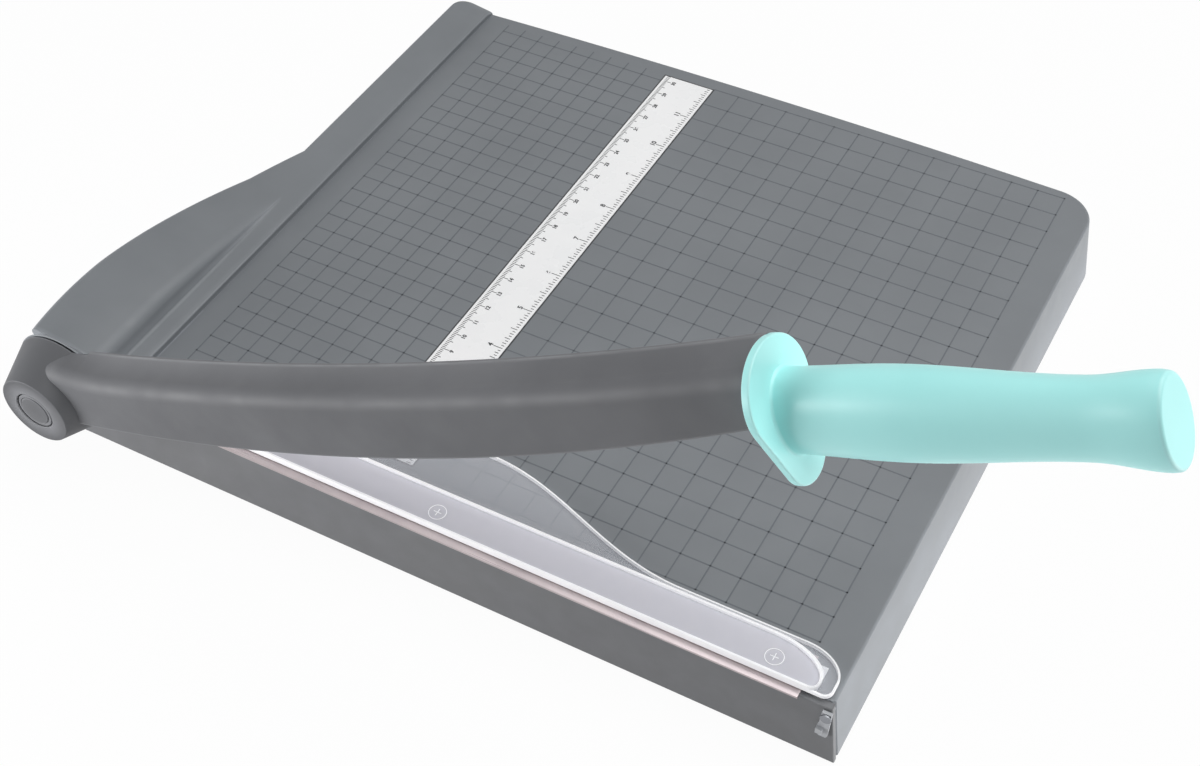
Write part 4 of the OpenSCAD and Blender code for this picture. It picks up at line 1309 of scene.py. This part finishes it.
@dataclass
class Arm:
    """Curved arm with its pivot knuckle, cap and blade, drawn on the closed arm's own axes."""

    pivot_x: float = PIVOT_X
    pivot_z: float = PIVOT_Z
    rest_deg: float = 26.0
    inner_y: float = -158.7
    thick: float = 16.6
    root: float = 5.0
    relief: float = 27.0
    knuckle_y: float = -161.35
    cap_y: float = -181.25
    knuckle_r: float = 23.4
    cap_edge_r: float = 16.2
    cap_r: float = 8.5
    knuckle_rim: float = 0.4
    flange: float = 351.0
    top_low: float = 6.6
    top_mid: float = 172.0
    top_radius: float = 1500.0
    belly_low: float = 25.2
    belly_mid: float = 165.0
    belly_radius: float = 910.0
    ridge_drop: float = 3.6
    root_lift: float = 4.5
    root_blend: float = 34.0
    crown: float = 6.0
    top_round: float = 0.8
    belly_round: float = 1.8
    blade_y: float = -156.7
    blade_start: float = 30.0
    blade_end: float = 331.0
    blade_h: float = 22.0
    blade_t: float = 1.95
    blade_below: float = 4.5
    bevel_h: float = 3.4

    def pose(self) -> Matrix:
        """Matrix from the closed arm's own axes to the arm at rest."""
        turn = Matrix.Rotation(math.radians(-self.rest_deg), 4, "Y")
        return Matrix.Translation((self.pivot_x, 0, self.pivot_z)) @ turn

    def top(self, s: float) -> float:
        """Height of the top edge over the pivot line at s from the pivot."""
        return self.top_low + (s - self.top_mid) ** 2 / (2 * self.top_radius)

    def drop(self, s: float) -> float:
        """Drop from the top edge to the ridge at s, less where the arm grows from the knuckle."""
        near = 1 - min(max((s - self.cap_edge_r) / self.root_blend, 0.0), 1.0)
        return self.ridge_drop - self.root_lift * near * near

    def belly(self, s: float) -> float:
        """Height of the lower edge, below the pivot line, at s from the pivot."""
        return -self.belly_low + (s - self.belly_mid) ** 2 / (2 * self.belly_radius)

    def section(self, s: float) -> list[Point]:
        """One cross-section of the arm, walked up its inner face and down its outer face.

        Args:
            s: Distance from the pivot.

        Returns:
            A closed ring of points, the same number at any s.
        """
        t, top, low = self.thick, self.top(s), self.belly(s)
        ridge = top - self.drop(s)
        inner = self.inner_y - self.knuckle_y if s < self.relief else 0.0
        flat: list[Flat] = [(0.0, low + 0.5), (0.0, low + 2.0), (0.0, top - 2.4)]
        r, b = self.top_round, self.belly_round
        flat += [(r + x, z) for x, z in arc((0.0, top - r), r, 180, 90, 3)]
        start, stop = 2 * r, t - self.crown
        flat += [(start + (stop - start) * u, top - self.drop(s) * u * (2 - u)) for u in spread(0, 1, 12)]
        flat += arc((stop, ridge - self.crown), self.crown, 85, 0, 12)
        flat += [(t, ridge - self.crown - 2.0), (t, low + 2 * b)]
        flat += arc((t - b, low + b), b, 0, -90, 5)
        flat += [(t - 4.0, low), (2.0, low), (0.5, low)]
        return [(s, self.inner_y - max(out, inner), z) for out, z in flat]

    def build_body(self) -> None:
        """Make the arm and the tapered knuckle that it grows from."""
        shape = Shape()
        stations = spread(self.root, self.relief - 0.15, 6) + spread(self.relief, self.flange + 2.4, 72)
        shape.loft([self.section(s) for s in stations])
        shape.swing(self.pose())
        before = set(shape.bm.faces)
        rim, seat = self.knuckle_rim, self.cap_r + 0.5
        taper = Vector((self.cap_edge_r - self.knuckle_r, self.cap_y - self.knuckle_y)).normalized()
        tip = Vector((self.cap_edge_r, self.cap_y))
        profile: list[Flat] = [(seat, self.cap_y + 3.6), (seat, self.cap_y + 0.3), (seat + 0.3, self.cap_y)]
        profile += [(self.cap_edge_r - rim - 0.8, self.cap_y)]
        start, stop = tip - Vector((rim, 0)), tip - taper * rim
        for u in spread(0, 1, 6):
            point = start * (1 - u) ** 2 + tip * 2 * u * (1 - u) + stop * u * u
            profile.append((point.x, point.y))
        for inside, out in ((0.3, 0.7), (0.1, 0.2), (0.5, 0.0)):
            profile.append((self.knuckle_r - inside, self.knuckle_y - out))
        profile.append((seat, self.knuckle_y))
        shape.turn(profile, (self.pivot_x, 0.0, self.pivot_z), Axis.ACROSS)
        # The knuckle takes the darker cap grey, which is painted shade
        shape.paint(before, 1)
        shape.finish("arm_moulding", Body.ARM, Slot.ARM, [ARM_NYLON, SHADED_CAP_NYLON], ["arm_body"])

    def build_cap(self) -> None:
        """Make the round cap with a raised middle inside the knuckle's face."""
        shape = Shape()
        y, r = self.cap_y, self.cap_r
        profile: list[Flat] = [(0.0, y + 3.5)]
        for inside, depth in (
            (0.0, 3.5),
            (0.0, 0.7),
            (0.3, 0.35),
            (1.3, 0.35),
            (1.5, 0.55),
            (1.7, 0.35),
            (1.9, 0.1),
            (2.3, 0.0),
        ):
            profile.append((r - inside, y + depth))
        profile.append((0.0, y - 0.1))
        shape.turn(profile, (self.pivot_x, 0.0, self.pivot_z), Axis.ACROSS)
        shape.finish("knuckle_cap", Body.ARM, Slot.ARM, [SHADED_CAP_NYLON], ["pivot_cap"])

    def build_blade(self) -> None:
        """Make the blade with the bevel ground on its outer side."""
        shape = Shape()
        rings = []
        for s in spread(self.blade_start, self.blade_end, 60):
            edge = self.belly(s) - self.blade_below
            back, high = self.blade_y - self.blade_t, edge + self.blade_h
            flat = [(self.blade_y, edge), (self.blade_y, high - 0.3), (self.blade_y - 0.3, high)]
            flat += [(back, high), (back, edge + self.bevel_h), (self.blade_y - 0.25, edge)]
            rings.append([(s, y, z) for y, z in flat])
        shape.loft(rings)
        shape.swing(self.pose())
        shape.finish("ground_blade", Body.ARM, Slot.EDGE, [GROUND_STEEL], ["blade"])


@dataclass
class Grip:
    """Mint grip: an oval body that swells, narrows and flares behind an egg-shaped flange."""

    arm: Arm = field(default_factory=Arm)
    length: float = 118.0
    axis_y: float = -165.6
    low: float = 6.8
    fall: float = 1.9
    half_h: float = 14.6
    half_w: float = 10.2
    flange_y: float = -167.0
    flange_t: float = 4.4
    top_r: float = 17.1
    low_r: float = 11.4
    span: float = 22.0
    rise: float = 8.5
    bury: float = 1.6
    rim: float = 0.6
    rim_flat: float = 3.0
    fillet: float = 1.2
    tip: float = 1.2
    tip_flat: float = 2.0
    knots: tuple[Flat, ...] = ((0.0, 1.0), (0.33, 1.08), (0.8, 0.895), (0.975, 1.033), (1.0, 0.98))

    def girth(self, u: float) -> float:
        """Size of the oval, eased between the knots.

        Args:
            u: Place along the grip, from 0 to 1.

        Returns:
            The oval's size as a share of its size at the flange.
        """
        for (a, low), (b, high) in zip(self.knots, self.knots[1:]):
            if u <= b:
                return low + (high - low) * (0.5 - 0.5 * math.cos(math.pi * (u - a) / (b - a)))
        return self.knots[-1][1]

    def oval(self, s: float, grow: float = 0.0) -> list[Point]:
        """Ring of the grip's body.

        Args:
            s: Distance from the pivot.
            grow: How far the ring is grown, or drawn in where it is negative.

        Returns:
            Points of the ring.
        """
        u = min(max((s - self.arm.flange - 1) / (self.length - 1), 0.0), 1.0)
        k = self.girth(min(u, 0.985))
        half_w, half_h, mid = self.half_w * k + grow, self.half_h * k + grow, -self.low - self.fall * u
        return [(s, self.axis_y + half_w * c, mid + half_h * d) for c, d in cos_sin(0, 355, 71)]

    def egg(self, s: float, inset: float) -> list[Point]:
        """Ring of the flange's egg.

        Args:
            s: Distance from the pivot.
            inset: How far the ring is drawn in.

        Returns:
            Points of the ring.
        """
        lean = (self.top_r - self.low_r) / self.span
        ring = []
        for i in range(96):
            a = math.tau * (i + 0.5) / 96
            upper = math.sin(a) > -lean
            r = (self.top_r if upper else self.low_r) - inset
            z = self.rise - (0 if upper else self.span) + r * math.sin(a)
            ring.append((s, self.flange_y + r * math.cos(a), -self.low + z))
        return ring

    def build(self) -> None:
        """Make the flange and the body with a small fillet between them."""
        shape = Shape()
        s0, s1 = self.arm.flange + self.bury, self.arm.flange + self.flange_t
        rings = [self.egg(s0, self.rim + self.rim_flat)]
        rings += [self.egg(s0 + self.rim * (1 - c), self.rim * (1 - d)) for c, d in cos_sin(0, 90, 6)]
        rings += [self.egg(s1 - self.rim * (1 - c), self.rim * (1 - d)) for c, d in cos_sin(90, 0, 6)]
        rings.append(self.egg(s1, self.rim + self.rim_flat))
        shape.loft(rings)
        fillet, tip, end = self.fillet, self.tip, self.arm.flange + self.length
        rings = [self.oval(s1 - 1.0, fillet)]
        rings += [self.oval(s1 - 0.1 + fillet * (1 - c), fillet * (1 - d)) for c, d in cos_sin(0, 90, 6)]
        rings += [self.oval(s) for s in spread(s1 + fillet, end - tip, 72)[1:]]
        rings += [self.oval(end - tip + tip * d, -tip * (1 - c)) for c, d in cos_sin(0, 90, 7)[1:]]
        rings.append(self.oval(end, -tip - self.tip_flat))
        shape.loft(rings)
        shape.swing(self.arm.pose())
        shape.finish("mint_grip", Body.ARM, Slot.GRIP, [GRIP_POLYPROPYLENE], ["grip"])


@dataclass
class Studio:
    """White floor and backdrop, soft lamps, and the camera of the photograph."""

    image_w: float = 1200.0
    focal_px: float = 1785.6
    principal: Flat = (567.09, 384.17)
    centre: Flat = (600.0, 383.0)
    sensor_mm: float = 36.0
    eye: Point = (271.66, -502.29, 579.43)
    angles: Point = (43.354, 1.394, 29.086)
    floor_half_m: float = 4.0
    floor_share: float = 0.96
    floor_paper: str = "#ececed"
    backdrop: str = "#ffffff"
    sky: str = "#f9fcff"
    sky_strength: float = 0.04

    def build_camera(self) -> None:
        """Place the camera that was solved from the board's printed grid."""
        lens = bpy.data.cameras.new("camera")
        lens.sensor_fit = "HORIZONTAL"
        lens.sensor_width = self.sensor_mm
        lens.lens = self.focal_px * self.sensor_mm / self.image_w
        lens.shift_x = (self.centre[0] - self.principal[0]) / self.image_w
        lens.shift_y = (self.principal[1] - self.centre[1]) / self.image_w
        lens.clip_start = 0.01
        camera = bpy.data.objects.new("camera", lens)
        camera.location = Vector(self.eye) * MM
        camera.rotation_euler = [math.radians(a) for a in self.angles]
        bpy.context.scene.collection.objects.link(camera)
        bpy.context.scene.camera = camera

    def white(self, tree: bpy.types.NodeTree) -> bpy.types.NodeSocket:
        """Tell the rays that should meet a white background from the others.

        Args:
            tree: Node tree of the floor or the world.

        Returns:
            A socket that is 1 for such rays.
        """
        path = add(tree, "ShaderNodeLightPath", {}, {})
        white = path.outputs["Is Camera Ray"]
        for kind in ("Is Transmission Ray", "Is Glossy Ray"):
            either = add(tree, "ShaderNodeMath", {"operation": "MAXIMUM"}, {0: white, 1: path.outputs[kind]})
            white = either.outputs["Value"]
        return white

    def build_floor(self) -> None:
        """Lay a wide white floor that keeps the object's soft shadow."""
        bm = bmesh.new()
        bmesh.ops.create_grid(bm, x_segments=1, y_segments=1, size=self.floor_half_m)
        mesh = bpy.data.meshes.new("floor")
        bm.to_mesh(mesh)
        bm.free()
        floor = bpy.data.objects.new("floor", mesh)
        bpy.context.scene.collection.objects.link(floor)
        material = bpy.data.materials.new("floor_white")
        material.use_nodes = True
        tree = material.node_tree
        tree.nodes.clear()
        paper = add(tree, "ShaderNodeBsdfDiffuse", {"Color": rgba(self.floor_paper)}, {})
        glow = add(tree, "ShaderNodeEmission", {"Color": rgba(self.backdrop), "Strength": 1.0}, {})
        share = add(
            tree, "ShaderNodeMath", {"operation": "MULTIPLY", 1: self.floor_share}, {0: self.white(tree)}
        )
        mix = add(
            tree,
            "ShaderNodeMixShader",
            {},
            {0: share.outputs["Value"], 1: paper.outputs["BSDF"], 2: glow.outputs["Emission"]},
        )
        add(tree, "ShaderNodeOutputMaterial", {}, {"Surface": mix.outputs["Shader"]})
        mesh.materials.append(material)
        floor.visible_shadow = False

    def build_world(self) -> None:
        """Fill with a weak even sky that shows white to the camera."""
        world = bpy.data.worlds.new("studio")
        world.use_nodes = True
        tree = world.node_tree
        tree.nodes.clear()
        sky = add(
            tree, "ShaderNodeBackground", {"Color": rgba(self.sky), "Strength": self.sky_strength}, {}
        )
        paper = add(tree, "ShaderNodeBackground", {"Color": rgba(self.backdrop), "Strength": 1.0}, {})
        mix = add(
            tree,
            "ShaderNodeMixShader",
            {},
            {0: self.white(tree), 1: sky.outputs["Background"], 2: paper.outputs["Background"]},
        )
        add(tree, "ShaderNodeOutputWorld", {}, {"Surface": mix.outputs["Shader"]})
        bpy.context.scene.world = world

    def lamp(self, name: str, place: Point, aim: Point, size: Flat, watts: float) -> None:
        """Hang a rectangular lamp.

        Args:
            name: Name of the lamp.
            place: Where it hangs, in metres.
            aim: Point that it faces, in metres.
            size: Width and height, in metres.
            watts: Power of the lamp.
        """
        light = bpy.data.lights.new(name, "AREA")
        light.shape = "RECTANGLE"
        light.size, light.size_y = size
        light.energy = watts
        holder = bpy.data.objects.new(name, light)
        holder.location = place
        holder.rotation_euler = (Vector(aim) - Vector(place)).to_track_quat("-Z", "Y").to_euler()
        bpy.context.scene.collection.objects.link(holder)

    def build(self) -> None:
        """Set the view, the camera, the floor, the sky and the lamps."""
        bpy.context.scene.view_settings.view_transform = "Standard"
        self.build_camera()
        self.build_floor()
        self.build_world()
        self.lamp("key", (0.55, 0.15, 1.4), (0.03, 0.0, 0.03), (1.7, 1.7), 25.0)
        self.lamp("front_left", (-0.52, -0.6, 0.13), (-0.14, -0.18, 0.07), (0.6, 0.2), 4.5)
        # Light that a white table throws back up at the free side; the floor lets it through
        self.lamp("free_side", (0.8, 0.12, -0.24), (0.17, 0.05, 0.03), (0.9, 0.3), 5.0)


def dress_nodes(nodes: dict[str, bpy.types.Object]) -> None:
    """Give the CAD solids that stay in view their finishes.

    Args:
        nodes: CAD nodes by name.
    """
    finishes: dict[str, Finish] = {
        "rubber_feet": FOOT_RUBBER,
        "housing_screws": ZINC_PLATE,
        "rail_screws": ZINC_PLATE,
        "pivot_bush": BUSH_BRASS,
        "thrust_washer": WASHER_NYLON,
        "pivot_bolt": ZINC_PLATE,
        "head_washer": ZINC_PLATE,
        "disc_springs": SPRING_STEEL,
        "lock_nut": ZINC_PLATE,
        "blade_screws": ZINC_PLATE,
        "grip_tang": SPRING_STEEL,
        "keeper_plate": ZINC_PLATE,
        "keeper_rivets": ZINC_PLATE,
        "lock_hook": LATCH_ACETAL,
        "hook_pin": SPRING_STEEL,
    }
    for name, finish in finishes.items():
        mesh = nodes[name].data
        mesh.materials.clear()
        mesh.materials.append(finish.material())
        LOG.info("%s: CAD solid in %s", name, finish.name)


def main() -> None:
    """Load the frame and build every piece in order."""
    logging.basicConfig(level=logging.INFO, format="%(name)s %(message)s")
    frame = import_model()
    Studio().build()
    base = Base()
    base.build_shell()
    base.build_rail()
    Fence().build()
    edge = CuttingEdge()
    edge.build()
    edge.build_screws()
    Guard().build()
    sheet = Print()
    sheet.build_grid()
    sheet.build_rule()
    arm = Arm()
    arm.build_body()
    arm.build_cap()
    arm.build_blade()
    Grip().build()
    dress_nodes(frame["nodes"])


if __name__ == "__main__":
    main()
